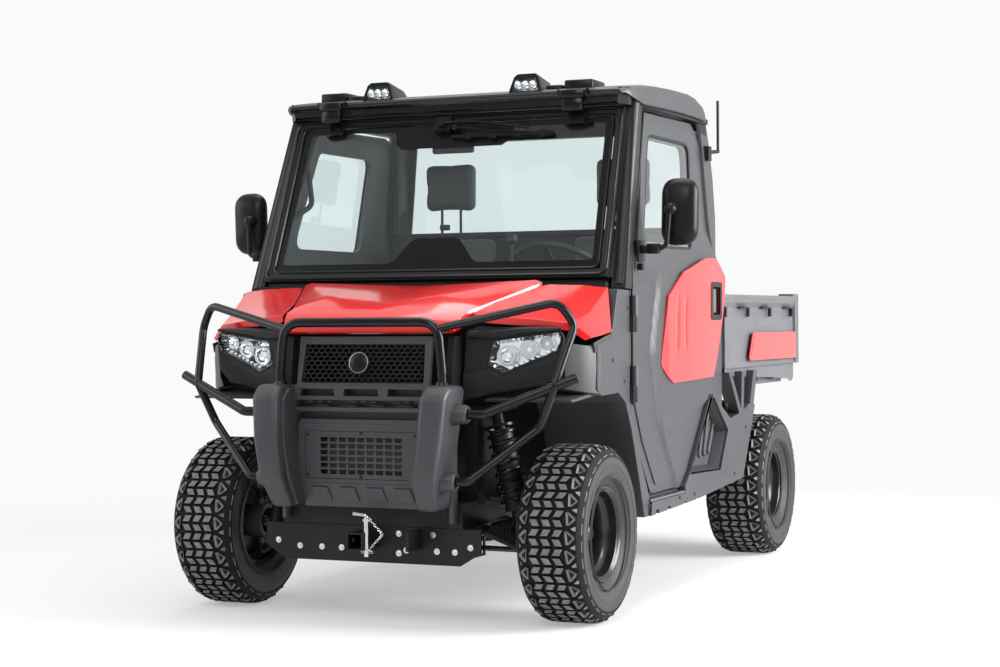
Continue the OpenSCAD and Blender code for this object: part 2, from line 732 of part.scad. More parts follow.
door_edge = [[-151, 470], [99, 738], [157, 828], [344, 1253]];
sill_z = 332;
quarter_top_z = 845;
module strut(low, high, w) {
    polygon([low - [w / 2, 0], low + [w / 2, 0], high + [w / 2, 0], high - [w / 2, 0]]);
}
module side_panels() {
    color("#55575b") {
        both_sides() union() {
            difference() {
                yz(side_x - 52, side_x + 4) union() {
                    polygon([[-632, sill_z], [-56, 347], [591, 382], [780, 690], [760, 700],
                        [690, 700], [590, 672], [405, 650], [163, 762], [105, 738],
                        [-146, 464], [-236, 402], [-618, 402]]);
                    strut([565, 660], [405, quarter_top_z], 44);
                    strut([585, 665], [600, quarter_top_z], 40);
                    strut([725, 680], [792, quarter_top_z], 56);
                }
                // Recess behind the door, with a shelf at its foot
                yz(side_x - 48, side_x + 5) polygon([[115, 742], [-140, 466], [-150, 452],
                    [262, 440], [372, 601], [180, 748]]);
                // Notches along the bottom edge
                for (y = [-560, -420, -220, -60, 180, 420])
                    block([side_x - 10, side_x + 5], [y - 16, y + 16], [320, 350]);
                // Entry step cut below the door
                block([side_x - 30, side_x + 5], [-640, -215], [384, 410]);
            }
            // Inner sill to the floor
            block([side_x - sill_depth, side_x - 45], [-610, 300], [360, floor_z]);
            // Pillar cover between the door and the bed
            yz(side_x - 60, side_x - 20) polygon([[172, 740], [165, 826], [300, 1150], [360, 1150],
                [360, 680], [300, 680]]);
        }
    }
}

seat_x = 400;
module seat_back() {
    translate([0, 100, 900]) rotate([-8, 0, 0]) children();
}
module seat(x) {
    translate([x, 0, 0]) {
        // Cushion on its base
        hull() {
            block([-215, 215], [-330, 110], [890, 960]);
            block([-230, 230], [-350, 120], [905, 940]);
        }
        block([-150, 150], [-300, 110], [860, 892]);
        // Backrest
        hull() {
            seat_back() block([-225, 225], [-60, 30], [30, 480]);
            seat_back() block([-190, 190], [-66, 34], [40, 540]);
        }
        // Headrest on its two posts
        for (s = [-45, 45]) rod([s, 165, 1420], [s, 168, 1600], 6);
        hull() {
            block([-125, 125], [130, 200], [1570, 1740]);
            block([-100, 100], [124, 206], [1545, 1765]);
        }
    }
}
module seats() {
    color("#232426") for (x = [-seat_x, seat_x]) seat(x);
}

roof_low_z = 1915;
module roof_outline() {
    yz(-side_x, side_x) polygon([[-700, 1915], [-712, 1946], [-680, 1962], [-450, 1992],
        [-150, 2010], [80, 2008], [200, 1985], [275, 1950], [300, 1915]]);
}
module roof() {
    color("#3c3e42") {
        intersection() {
            roof_outline();
            xz(-800, 400) polygon([[-side_x + 50, roof_low_z], [side_x - 50, roof_low_z],
                [side_x - 62, 1956], [side_x - 120, 1996], [side_x - 190, 2012],
                [-side_x + 190, 2012], [-side_x + 120, 1996], [-side_x + 62, 1956]]);
            xy(1900, 2020) polygon([[-side_x + 63, -680], [-500, -702], [500, -702],
                [side_x - 63, -680], [side_x - 50, -500], [side_x - 50, 180], [side_x - 90, 300],
                [-side_x + 90, 300], [-side_x + 50, 180], [-side_x + 50, -500]]);
        }
    }
}

module windscreen() {
    color([0.35, 0.6, 0.6, 0.4])
        translate([0, screen_low[1], screen_low[2]]) rotate([screen_tilt, 0, 0])
            translate([0, 0, -12]) linear_extrude(glass_t)
                offset(delta = -screen_frame_w - contact_gap) polygon([[-screen_low[0], 0],
                    [screen_low[0], 0], [screen_high[0], screen_h], [-screen_high[0], screen_h]]);
}

module rear_window() {
    color([0.35, 0.6, 0.6, 0.4])
        block([-side_x + 120 + contact_gap, side_x - 120 - contact_gap],
            [cab_rear_y - 20, cab_rear_y - 20 + glass_t], [1440 + contact_gap, 1860 - contact_gap]);
}

light_x = 317;
module work_lights() {
    color("#151618") both_sides() {
        difference() {
            hull() {
                block([light_x - 68, light_x + 68], [-690, -560], [1950, 1992]);
                block([light_x - 48, light_x + 48], [-680, -580], [2018, 2024]);
            }
            roof_outline();
        }
    }
}

module wiper() {
    color("#141517") {
        translate([0, screen_low[1], screen_low[2]]) rotate([screen_tilt, 0, 0]) union() {
            block([-70, 0], [screen_h - 90, screen_h - 30], [contact_gap, 38]);
            rod([-30, screen_h - 60, 24], [300, screen_h - 100, 16], 6);
            block([40, 420], [screen_h - 118, screen_h - 100], [-6, 14]);
        }
    }
}

module antenna() {
    color("#161719") {
        union() {
            block([side_x - 62, side_x - 36], [cab_rear_y - 45, cab_rear_y - 5], [1740, 1800]);
            rod([side_x - 44, cab_rear_y - 20, 1775], [side_x - 30, cab_rear_y + 66, 1785], 8);
            translate([side_x - 30, cab_rear_y + 66, 1780]) cylinder(r = 6, h = 220);
        }
    }
}

// Door, drawn for the left side
door_low = [[-575, 412], [-236, 412], [-157, 470], [93, 738], [151, 828], [338, 1253], [228, 1380],
    [-690, 1380], [-790, 1270], [-800, 1180], [-800, 757], [-716, 590]];
door_high = [[-773, 1300], [-770, 1316], [-522, 1876], [120, 1884], [182, 1862], [210, 1800],
    [216, 1500], [228, 1380], [228, 1330], [-740, 1310]];
door_window = [[-680, 1345], [-40, 1345], [30, 1800], [-495, 1800]];
module door_waist() {
    intersection() {
        children();
        block([0, side_x + 50], [-1000, 600], [0, waist_z + 0.5]);
    }
}
module door_skin() {
    difference() {
        union() {
            intersection() {
                yz(side_x - door_t, side_x) polygon(door_low);
                block([0, side_x + 50], [-1000, 600], [0, waist_z]);
            }
            intersection() {
                lean() yz(side_x - door_t, side_x) polygon(door_high);
                block([0, side_x + 50], [-1000, 600], [waist_z, 2000]);
            }
            // Hinge leaves
            for (z = [770, 1030]) {
                translate([hinge_x, hinge_y, z + 60 + contact_gap]) cylinder(r = hinge_r, h = 74);
                block([side_x - 10, hinge_x + 4], [hinge_y, -780], [z + 60 + contact_gap, z + 134]);
            }
        }
        lean() yz(side_x - door_t - 10, side_x + 10) rounded(40) polygon(door_window);
        for (z = [770, 1030])
            translate([hinge_x, hinge_y, z + 55]) cylinder(r = hinge_pin_r + running_gap, h = 82);
        // Space behind the outer skin
        yz(side_x - door_t - 1, side_x - 12) polygon([[-520, 450], [-240, 450], [60, 745],
            [120, 840], [250, 1150], [-700, 1150], [-760, 1120], [-760, 790], [-660, 590]]);
        // Latch pocket
        block([side_x - 20, side_x + 1], [140, 236], [1090, 1210]);
    }
}
module door_mirror() {
    union() {
        block([side_x - 4, side_x + 30], [-770, -700], [1310, 1350]);
        rod([side_x + 20, -735, 1330], [side_x + 105, -715, 1352], 11);
        rod([side_x + 105, -715, 1352], [side_x + 112, -712, 1480], 9);
        translate([side_x + 112, -712, 1486]) sphere(r = 22);
        hull() {
            translate([side_x + 134, -668, 1475]) cube([110, 44, 230], center = true);
            translate([side_x + 134, -672, 1475]) cube([150, 30, 190], center = true);
            translate([side_x + 134, -684, 1475]) cube([90, 24, 180], center = true);
        }
    }
}
module door() {
    union() {
        door_skin();
        door_mirror();
    }
}
module door_panel() {
    yz(side_x + contact_gap, side_x + 12) difference() {
        polygon([[-427, 1164], [40, 1322], [190, 1322], [326, 1250], [310, 1150], [270, 1055],
            [205, 925], [143, 836], [-365, 826], [-505, 901]]);
        polygon([[132, 1082], [244, 1082], [244, 1218], [132, 1218]]);
    }
}
module door_glass() {
    lean() yz(side_x - 24, side_x - 24 + glass_t)
        offset(delta = -contact_gap) rounded(40) polygon(door_window);
}
module door_left() { color("#4a4c50") door(); }
module door_left_panel() { color("#e0241c") door_panel(); }
module door_left_glass() { color([0.35, 0.6, 0.6, 0.4]) door_glass(); }
module door_right() { color("#4a4c50") mirror([1, 0, 0]) door(); }
module door_right_panel() { color("#e0241c") mirror([1, 0, 0]) door_panel(); }
module door_right_glass() { color([0.35, 0.6, 0.6, 0.4]) mirror([1, 0, 0]) door_glass(); }

module cargo_bed() {
    color("#3d3f43") {
        union() {
            block([-bed_x + bed_wall - 2, bed_x - bed_wall + 2],
                [bed_front_y, bed_rear_y - tailgate_t - panel_gap - 4], [bed_z, bed_z + bed_floor_t]);
            block([-bed_x, bed_x], [bed_front_y, bed_front_y + bed_wall], [bed_z, bed_top_z]);
            both_sides() {
                block([bed_x - bed_wall, bed_x], [bed_front_y, bed_rear_y], [bed_z, bed_top_z]);
                // Rails below the floor, at the sides and at the pivots
                block([bed_x - 110, bed_x - 60], [bed_front_y + 60, bed_rear_y - 100],
                    [bed_z - under_rail_h, bed_z + 2]);
                difference() {
                    union() {
                        block([ear_x, ear_x + ear_t], [bed_front_y + 60, bed_rear_y - 100],
                            [bed_z - 60, bed_z + 2]);
                        yz(ear_x, ear_x + ear_t) polygon([[tilt_y - 70, bed_z - 50],
                            [tilt_y - 26, tilt_z - 26], [tilt_y + 26, tilt_z - 26],
                            [tilt_y + 70, bed_z - 50]]);
                    }
                    x_rod(ear_x - 1, ear_x + ear_t + 1, tilt_y, tilt_z, tilt_pin_r + running_gap);
                }
            }
            // Tailgate hinge pins
            both_sides() x_rod(bed_x - bed_wall - 34, bed_x - 5, tailgate_y, tailgate_hinge_z,
                tailgate_pin_r);
            // Lugs and pin for the lift rod
            for (x = [lift_x - 52, lift_x + 32])
                block([x, x + 20], [lift_eye[1] - 26, lift_eye[1] + 26], [lift_eye[2] - 22, bed_z + 2]);
            x_rod(lift_x - 52, lift_x + 52, lift_eye[1], lift_eye[2], lift_pin_r);
        }
    }
}
module bed_panels() {
    color("#e0241c") both_sides()
        yz(bed_x + contact_gap, bed_x + 8) polygon([[bed_rear_y - 870, bed_z + 28],
            [bed_rear_y - 800, bed_z + 151], [bed_rear_y - 75, bed_z + 149],
            [bed_rear_y - 70, bed_z + 25]]);
}
module tailgate() {
    color("#3d3f43") difference() {
        block([-bed_x + bed_wall + panel_gap, bed_x - bed_wall - panel_gap],
            [bed_rear_y - tailgate_t, bed_rear_y], [bed_z + 2, bed_top_z]);
        both_sides() x_rod(bed_x - bed_wall - 36, bed_x, tailgate_y, tailgate_hinge_z,
            tailgate_pin_r + running_gap);
    }
}

module along_lift() {
    translate(lift_base) rotate([lift_tilt, 0, 0]) children();
}
module lift_cylinder() {
    color("#2a2c2e") along_lift() difference() {
        union() {
            y_rod(30, 330, 0, 0, lift_barrel_r);
            x_rod(-30, 30, 0, 0, 26);
            y_rod(0, 40, 0, 0, 20);
        }
        x_rod(-31, 31, 0, 0, lift_pin_r + running_gap);
        y_rod(60, 331, 0, 0, lift_rod_r + running_gap);
    }
}
module lift_rod() {
    color("#c9ccd0") along_lift() difference() {
        union() {
            y_rod(75, lift_length - 20, 0, 0, lift_rod_r);
            x_rod(-24, 24, lift_length, 0, lift_pin_r + lift_eye_play + 8);
        }
        x_rod(-25, 25, lift_length, 0, lift_pin_r + lift_eye_play);
    }
}

module steering_rack() {
    color("#3b3d3f") {
        union() {
            x_rod(-250, 250, rack_y + 20, rack_z, rack_r);
            both_sides() {
                rod([245, rack_y + 20, rack_z], [kingpin_x - 20, rack_y, rack_z], 10);
                translate([kingpin_x - 14, rack_y, rack_z - 9]) cylinder(r = 14, h = 18);
                translate([kingpin_x - 14, rack_y, rack_z]) cylinder(r = 6, h = 19);
            }
        }
    }
}
module steering_wheel() {
    color("#1a1b1d") translate(steering_centre) rotate([-steering_lean, 0, 0]) difference() {
        union() {
            rotate_extrude() translate([steering_r, 0]) circle(r = 14, $fn = 24);
            translate([0, 0, -50]) cylinder(r = 30, h = 42);
            translate([0, 0, -20]) cylinder(r = 62, h = 22);
            for (a = [-90, 30, 150])
                rotate([0, 0, a]) block([-16, 16], [40, steering_r - 2], [-12, -2]);
        }
        translate([0, 0, -56]) cylinder(r = column_r + running_gap, h = 31);
    }
}

module knuckle() {
    difference() {
        union() {
            x_rod(kingpin_x - 26, kingpin_x + 30, front_y, axle_z, 66);
            x_rod(kingpin_x + 28, wheel_x - hub_face - 0.5, front_y, axle_z, 62);
            x_rod(kingpin_x + 30, wheel_x + 44, front_y, axle_z, spindle_r);
            for (s = [-1, 1])
                translate([kingpin_x, front_y, axle_z + s * (kingpin_reach - 31) - 12])
                    cylinder(r = 20, h = 24);
            translate([kingpin_x, front_y, axle_z - kingpin_reach - 18])
                cylinder(r = kingpin_r, h = 40);
            translate([kingpin_x, front_y, axle_z + kingpin_reach - 22])
                cylinder(r = kingpin_r, h = 40);
            // Steering arm behind the axle
            block([kingpin_x - 24, kingpin_x], [front_y + 20, rack_y + 16],
                [rack_z + 20, rack_z + 36]);
        }
        x_rod(kingpin_x - 27, kingpin_x + 26, front_y, axle_z, 50);
    }
}
module knuckle_left() { color("#2b2d2f") knuckle(); }
module knuckle_right() { color("#2b2d2f") mirror([1, 0, 0]) knuckle(); }

rim_r = rim_d / 2;
flange_h = 17;
flange_t = 6;
bead_x = rim_w / 2 - 4;
// Tyre cross section: radius, then width
module tyre_section(w) {
    h = w / 2;
    polygon([[rim_r, -bead_x], [rim_r + flange_h + 1, -bead_x], [rim_r + 30, -rim_w / 2 - 8],
        [rim_r + 75, -h], [axle_z - 52, -h + 2], [axle_z - 24, -h + 10], [axle_z - 7, -h + 26],
        [axle_z, -h + 60], [axle_z, h - 60], [axle_z - 7, h - 26], [axle_z - 24, h - 10],
        [axle_z - 52, h - 2], [rim_r + 75, h], [rim_r + 30, rim_w / 2 + 8],
        [rim_r + flange_h + 1, bead_x], [rim_r, bead_x]]);
}
module tyre(w) {
    rotate([0, 90, 0]) rotate_extrude($fn = 96) tyre_section(w);
}
// Rim, drawn with its outer side along +X
rim_t = 5;
well = 24;
disc_t = 8;
module rim() {
    difference() {
        union() {
            rotate([0, 90, 0]) rotate_extrude($fn = 96) polygon([
                [rim_r, -bead_x], [rim_r, -bead_x + 30], [rim_r - well, -bead_x + 44],
                [rim_r - well, bead_x - 60], [rim_r, bead_x - 40], [rim_r, bead_x],
                [rim_r + flange_h, bead_x], [rim_r + flange_h, bead_x + flange_t],
                [rim_r - rim_t, bead_x + flange_t], [rim_r - rim_t, bead_x - 38],
                [rim_r - well - rim_t, bead_x - 58], [rim_r - well - rim_t, -hub_face + disc_t],
                [70, -hub_face + disc_t], [60, -hub_face], [rim_r - well - rim_t, -hub_face],
                [rim_r - well - rim_t, -bead_x + 42], [rim_r - rim_t, -bead_x + 28],
                [rim_r - rim_t, -bead_x - flange_t], [rim_r + flange_h, -bead_x - flange_t],
                [rim_r + flange_h, -bead_x]]);
            x_rod(-hub_face, -hub_face + 60, 0, 0, wheel_hub_r);
            x_rod(-hub_face, -hub_face + disc_t, 0, 0, 75);
            x_rod(-hub_face + 60, -hub_face + 84, 0, 0, 32);
        }
        x_rod(-hub_face - 1, -hub_face + 76, 0, 0, spindle_r + running_gap);
    }
}
module tyre_at(side, y, w) {
    color("#1c1d1e") translate([side * wheel_x, y, axle_z]) tyre(w);
}
module rim_at(side, y) {
    color("#101113") translate([side * wheel_x, y, axle_z]) mirror([side < 0 ? 1 : 0, 0, 0]) rim();
}
module tyre_front_left() { tyre_at(1, front_y, front_tyre_w); }
module tyre_front_right() { tyre_at(-1, front_y, front_tyre_w); }
module tyre_rear_left() { tyre_at(1, rear_y, rear_tyre_w); }
module tyre_rear_right() { tyre_at(-1, rear_y, rear_tyre_w); }
module rim_front_left() { rim_at(1, front_y); }
module rim_front_right() { rim_at(-1, front_y); }
module rim_rear_left() { rim_at(1, rear_y); }
module rim_rear_right() { rim_at(-1, rear_y); }

main_frame();
cross_members();
lift_foot();
skid_plate();
receivers();
front_suspension();
rear_suspension();
front_driveline();
engine();
front_bumper();
front_grille();
bull_bar();
front_fascia();
lamps();
front_fenders();
hood_corners();
cab_frame();
cab_tub();
dashboard();
side_panels();
seats();
roof();
windscreen();
rear_window();
work_lights();
wiper();
antenna();
hood();
door_left();
door_left_panel();
door_left_glass();
door_right();
door_right_panel();
door_right_glass();
cargo_bed();
bed_panels();
tailgate();
lift_cylinder();
lift_rod();
steering_rack();
steering_wheel();
knuckle_left();
knuckle_right();
tyre_front_left();
tyre_front_right();
tyre_rear_left();
tyre_rear_right();
rim_front_left();
rim_front_right();
rim_rear_left();
rim_rear_right();
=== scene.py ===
import json
import math

import bmesh
import bpy
from mathutils import Matrix, Vector

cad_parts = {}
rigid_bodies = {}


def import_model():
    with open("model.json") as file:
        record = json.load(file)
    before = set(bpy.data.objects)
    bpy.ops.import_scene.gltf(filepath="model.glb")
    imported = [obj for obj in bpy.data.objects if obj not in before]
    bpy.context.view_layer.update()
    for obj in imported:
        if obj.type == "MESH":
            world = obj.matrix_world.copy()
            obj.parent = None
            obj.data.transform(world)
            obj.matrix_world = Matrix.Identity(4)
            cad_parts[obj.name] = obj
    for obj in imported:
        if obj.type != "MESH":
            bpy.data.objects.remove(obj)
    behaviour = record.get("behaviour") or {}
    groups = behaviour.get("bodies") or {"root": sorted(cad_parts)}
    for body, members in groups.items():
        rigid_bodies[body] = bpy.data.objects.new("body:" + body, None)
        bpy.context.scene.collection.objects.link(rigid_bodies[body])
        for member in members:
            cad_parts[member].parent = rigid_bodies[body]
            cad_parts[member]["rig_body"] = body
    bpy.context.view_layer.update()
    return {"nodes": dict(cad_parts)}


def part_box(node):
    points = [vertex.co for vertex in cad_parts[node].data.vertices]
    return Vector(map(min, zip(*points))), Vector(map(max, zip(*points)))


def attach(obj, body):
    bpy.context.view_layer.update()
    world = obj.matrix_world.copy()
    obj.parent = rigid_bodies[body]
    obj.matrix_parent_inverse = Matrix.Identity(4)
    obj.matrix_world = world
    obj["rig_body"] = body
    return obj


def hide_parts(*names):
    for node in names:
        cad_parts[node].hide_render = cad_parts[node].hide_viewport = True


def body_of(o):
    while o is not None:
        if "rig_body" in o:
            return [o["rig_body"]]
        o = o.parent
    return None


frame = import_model()
nodes = frame["nodes"]

# ---------------------------------------------------------------- camera, floor and light

LENS_PLACE = Vector((3.211, -7.6265, 1.0897))
YAW, PITCH, ROLL = -0.4096, -0.0086, -0.0067


def place_camera():
    ahead = Vector((math.sin(YAW) * math.cos(PITCH), math.cos(YAW) * math.cos(PITCH), math.sin(PITCH)))
    right = ahead.cross(Vector((0, 0, 1))).normalized()
    up = right.cross(ahead)
    side = right * math.cos(ROLL) + up * math.sin(ROLL)
    top = up * math.cos(ROLL) - right * math.sin(ROLL)
    data = bpy.data.cameras.new("camera")
    data.lens, data.sensor_width = 70.296, 36
    camera = bpy.data.objects.new("camera", data)
    bpy.context.collection.objects.link(camera)
    camera.matrix_world = Matrix.Translation(LENS_PLACE) @ Matrix((side, top, -ahead)).transposed().to_4x4()
    bpy.context.scene.camera = camera


def area_light(name, place, target, size, power):
    data = bpy.data.lights.new(name, "AREA")
    data.shape, data.size, data.energy = "SQUARE", size, power
    lamp = bpy.data.objects.new(name, data)
    bpy.context.collection.objects.link(lamp)
    lamp.location = place
    lamp.rotation_euler = (Vector(target) - Vector(place)).to_track_quat("-Z", "Y").to_euler()


def seen_by(tree, *kinds):
    """1 for rays of these kinds, 0 for the others."""
    rays = tree.nodes.new("ShaderNodeLightPath")
    found = None
    for kind in kinds:
        if found is None:
            found = rays.outputs[kind]
            continue
        either = tree.nodes.new("ShaderNodeMath")
        either.operation = "MAXIMUM"
        tree.links.new(found, either.inputs[0])
        tree.links.new(rays.outputs[kind], either.inputs[1])
        found = either.outputs[0]
    return found


def whiten(paper):
    """Far from the object the floor turns into the white of the backdrop."""
    tree = paper.node_tree
    place = tree.nodes.new("ShaderNodeNewGeometry")
    reach = tree.nodes.new("ShaderNodeVectorMath")
    reach.operation = "LENGTH"
    fade = tree.nodes.new("ShaderNodeMapRange")
    fade.interpolation_type = "SMOOTHSTEP"
    fade.inputs["From Min"].default_value = 2.2
    fade.inputs["From Max"].default_value = 5.0
    fade.inputs["To Min"].default_value = 0.38
    glow = tree.nodes.new("ShaderNodeEmission")
    glow.inputs["Color"].default_value = (0.95, 0.955, 0.96, 1)
    mix = tree.nodes.new("ShaderNodeMixShader")
    looked_at = tree.nodes.new("ShaderNodeMath")
    looked_at.operation = "MULTIPLY"
    tree.links.new(place.outputs["Position"], reach.inputs[0])
    tree.links.new(reach.outputs["Value"], fade.inputs["Value"])
    tree.links.new(fade.outputs["Result"], looked_at.inputs[0])
    tree.links.new(seen_by(tree, "Is Camera Ray", "Is Glossy Ray", "Is Transmission Ray"),
                   looked_at.inputs[1])
    tree.links.new(looked_at.outputs[0], mix.inputs["Fac"])
    tree.links.new(tree.nodes["Principled BSDF"].outputs[0], mix.inputs[1])
    tree.links.new(glow.outputs[0], mix.inputs[2])
    tree.links.new(mix.outputs[0], tree.nodes["Material Output"].inputs["Surface"])


def build_studio():
    world = bpy.data.worlds.new("studio")
    bpy.context.scene.world = world
    world.use_nodes = True
    tree = world.node_tree

    def sky(colour, strength):
        shade = tree.nodes.new("ShaderNodeBackground")
        shade.inputs["Color"].default_value = (*colour, 1)
        shade.inputs["Strength"].default_value = strength
        return shade.outputs[0]

    def either(share, first, second):
        mix = tree.nodes.new("ShaderNodeMixShader")
        tree.links.new(share, mix.inputs["Fac"])
        tree.links.new(first, mix.inputs[1])
        tree.links.new(second, mix.inputs[2])
        return mix.outputs[0]

    towards = tree.nodes.new("ShaderNodeTexCoord")
    parts = tree.nodes.new("ShaderNodeSeparateXYZ")
    behind = tree.nodes.new("ShaderNodeMapRange")
    behind.inputs["From Min"].default_value, behind.inputs["From Max"].default_value = -0.75, -0.1
    tree.links.new(towards.outputs["Generated"], parts.inputs[0])
    tree.links.new(parts.outputs["Y"], behind.inputs["Value"])
    room = either(behind.outputs["Result"], sky((0.9, 0.94, 1), 0.22), sky((0.95, 0.955, 0.96), 1.0))
    lit = either(seen_by(tree, "Is Glossy Ray"), sky((0.93, 0.95, 1), 0.62), room)
    seen = either(seen_by(tree, "Is Camera Ray", "Is Transmission Ray"), lit, sky((0.95, 0.955, 0.96), 1.0))
    tree.links.new(seen, tree.nodes["World Output"].inputs["Surface"])
    area_light("side", (6.6, 0.9, 2.8), (0, 0.2, 0.8), 4.0, 1050)
    area_light("front", (1.0, -6.5, 5.0), (0, 0, 0.8), 3.5, 185)
    area_light("fill", (-5.5, -3.5, 3.2), (0, 0, 0.9), 4.0, 130)
    area_light("top", (0, 0.4, 5.5), (0, 0.2, 0), 4.0, 170)
    floor = bmesh.new()
    bmesh.ops.create_grid(floor, x_segments=1, y_segments=1, size=30)
    mesh = bpy.data.meshes.new("floor")
    floor.to_mesh(mesh)
    floor_piece = bpy.data.objects.new("floor", mesh)
    bpy.context.collection.objects.link(floor_piece)
    paper = bpy.data.materials.new("floor_paper")
    paper.use_nodes = True
    shade = paper.node_tree.nodes["Principled BSDF"]
    shade.inputs["Base Color"].default_value = (0.76, 0.765, 0.77, 1)
    shade.inputs["Roughness"].default_value = 0.9
    whiten(paper)
    mesh.materials.append(paper)


bpy.context.scene.view_settings.view_transform = "Standard"
place_camera()
build_studio()

# ---------------------------------------------------------------- finishes


def grown_noise(tree, coord, size, detail=2.0):
    """Noise with features about `size` metres across."""
    mapping = tree.nodes.new("ShaderNodeMapping")
    mapping.inputs["Scale"].default_value = [1 / size] * 3
    noise = tree.nodes.new("ShaderNodeTexNoise")
    noise.inputs["Scale"].default_value = 1.0
    noise.inputs["Detail"].default_value = detail
    tree.links.new(coord.outputs["Object"], mapping.inputs["Vector"])
    tree.links.new(mapping.outputs["Vector"], noise.inputs["Vector"])
    return noise


def finish(name, colour, rough, metal=0.0, mottle=0.06, mottle_size=0.12, rough_play=0.06,
           grain=0.0, grain_size=0.001, cells=False, **sockets):
    """A finish whose colour, roughness and bump come from noise at the sizes given."""
    mat = bpy.data.materials.new(name)
    mat.use_nodes = True
    tree = mat.node_tree
    shade = tree.nodes["Principled BSDF"]
    coord = tree.nodes.new("ShaderNodeTexCoord")
    broad = grown_noise(tree, coord, mottle_size, 4.0)
    ramp = tree.nodes.new("ShaderNodeValToRGB")
    for stop, share in zip(ramp.color_ramp.elements, (1 - mottle, 1 + mottle)):
        stop.color = [min(1, c * share) for c in colour] + [1]
    ramp.color_ramp.elements[0].position = 0.35
    ramp.color_ramp.elements[1].position = 0.65
    tree.links.new(broad.outputs["Fac"], ramp.inputs["Fac"])
    tree.links.new(ramp.outputs["Color"], shade.inputs["Base Color"])
    spread = tree.nodes.new("ShaderNodeMapRange")
    spread.inputs["To Min"].default_value = max(0.02, rough - rough_play)
    spread.inputs["To Max"].default_value = min(1, rough + rough_play)
    tree.links.new(broad.outputs["Fac"], spread.inputs["Value"])
    tree.links.new(spread.outputs["Result"], shade.inputs["Roughness"])
    shade.inputs["Metallic"].default_value = metal
    if grain:
        if cells:
            mapping = tree.nodes.new("ShaderNodeMapping")
            mapping.inputs["Scale"].default_value = [1 / grain_size] * 3
            fine = tree.nodes.new("ShaderNodeTexVoronoi")
            fine.inputs["Scale"].default_value = 1.0
            tree.links.new(coord.outputs["Object"], mapping.inputs["Vector"])
            tree.links.new(mapping.outputs["Vector"], fine.inputs["Vector"])
            height = fine.outputs["Distance"]
        else:
            height = grown_noise(tree, coord, grain_size).outputs["Fac"]
        bump = tree.nodes.new("ShaderNodeBump")
        bump.inputs["Strength"].default_value = grain
        bump.inputs["Distance"].default_value = grain_size * 0.5
        tree.links.new(height, bump.inputs["Height"])
        tree.links.new(bump.outputs["Normal"], shade.inputs["Normal"])
    for socket, value in sockets.items():
        shade.inputs[socket.replace("_", " ")].default_value = value
    return mat


def glass(name, colour):
    """Glass that lets the lamps through to what is behind it."""
    mat = finish(name, colour, 0.02, mottle=0.015, rough_play=0.01, mottle_size=0.4,
                 Transmission_Weight=1.0, IOR=1.45)
    tree = mat.node_tree
    shade = tree.nodes["Principled BSDF"]
    spread = tree.nodes["Map Range"]
    spread.inputs["To Min"].default_value, spread.inputs["To Max"].default_value = 0.0, 0.004
    rays = tree.nodes.new("ShaderNodeLightPath")
    clear = tree.nodes.new("ShaderNodeBsdfTransparent")
    clear.inputs["Color"].default_value = (*colour, 1)
    mix = tree.nodes.new("ShaderNodeMixShader")
    tree.links.new(rays.outputs["Is Shadow Ray"], mix.inputs["Fac"])
    tree.links.new(shade.outputs[0], mix.inputs[1])
    tree.links.new(clear.outputs[0], mix.inputs[2])
    tree.links.new(mix.outputs[0], tree.nodes["Material Output"].inputs["Surface"])
    return mat


red_paint = finish("red_gloss", (0.6, 0.004, 0.003), 0.35, mottle=0.03, rough_play=0.02, grain=0.02,
                   grain_size=0.004, Coat_Weight=1.0, Coat_Roughness=0.1, Specular_IOR_Level=0.2)
charcoal = finish("charcoal_plastic", (0.033, 0.035, 0.038), 0.45, mottle=0.05, grain=0.25, grain_size=0.0012,
                  Specular_IOR_Level=0.5)
soft_black = finish("soft_black_plastic", (0.011, 0.0115, 0.0125), 0.5, mottle=0.06, grain=0.25,
                    grain_size=0.0012, Specular_IOR_Level=0.25)
deep_black = finish("deep_black_plastic", (0.006, 0.006, 0.007), 0.34, mottle=0.05, grain=0.06,
                    grain_size=0.0015, Specular_IOR_Level=0.2)
pillar_black = finish("pillar_black", (0.012, 0.013, 0.015), 0.4, mottle=0.04, grain=0.04, grain_size=0.002,
                      Specular_IOR_Level=0.35)
satin_tube = finish("satin_black_tube", (0.005, 0.005, 0.006), 0.25, mottle=0.06, grain=0.05,
                    grain_size=0.002, Specular_IOR_Level=0.3)
gloss_black = finish("gloss_black_plastic", (0.008, 0.008, 0.009), 0.2, mottle=0.05, grain=0.03,
                     grain_size=0.003, Specular_IOR_Level=0.25)
trim_grey = finish("trim_grey", (0.075, 0.078, 0.083), 0.42, mottle=0.05, grain=0.15, grain_size=0.0012)
webbing = finish("belt_webbing", (0.016, 0.016, 0.018), 0.75, mottle=0.12, mottle_size=0.01, grain=0.5,
                 grain_size=0.0012)
frame_black = finish("frame_black", (0.01, 0.01, 0.011), 0.45, mottle=0.12, grain=0.12, grain_size=0.002,
                     Specular_IOR_Level=0.25)
bed_grey = finish("bed_grey", (0.085, 0.087, 0.092), 0.42, mottle=0.08, grain=0.2, grain_size=0.0018,
                  Specular_IOR_Level=0.6)
rim_black = finish("rim_black", (0.012, 0.012, 0.013), 0.28, mottle=0.1, grain=0.06, grain_size=0.002,
                   Coat_Weight=0.15, Coat_Roughness=0.1, Specular_IOR_Level=0.3)
rubber = finish("tyre_rubber", (0.008, 0.008, 0.008), 0.75, mottle=0.16, mottle_size=0.03, grain=0.3,
                grain_size=0.0015, Specular_IOR_Level=0.2)
wall_rubber = finish("tyre_wall_rubber", (0.034, 0.034, 0.035), 0.56, mottle=0.14, mottle_size=0.05,
                     grain=0.2, grain_size=0.002, Specular_IOR_Level=0.3)
# painted highlight: the tread block tops get a light grey that stands in for the light falling on them
tread_top_highlight = finish("tread_top_painted_highlight", (0.14, 0.142, 0.145), 0.6, mottle=0.2, mottle_size=0.02, grain=0.25,
                    grain_size=0.0015, Specular_IOR_Level=0.3)
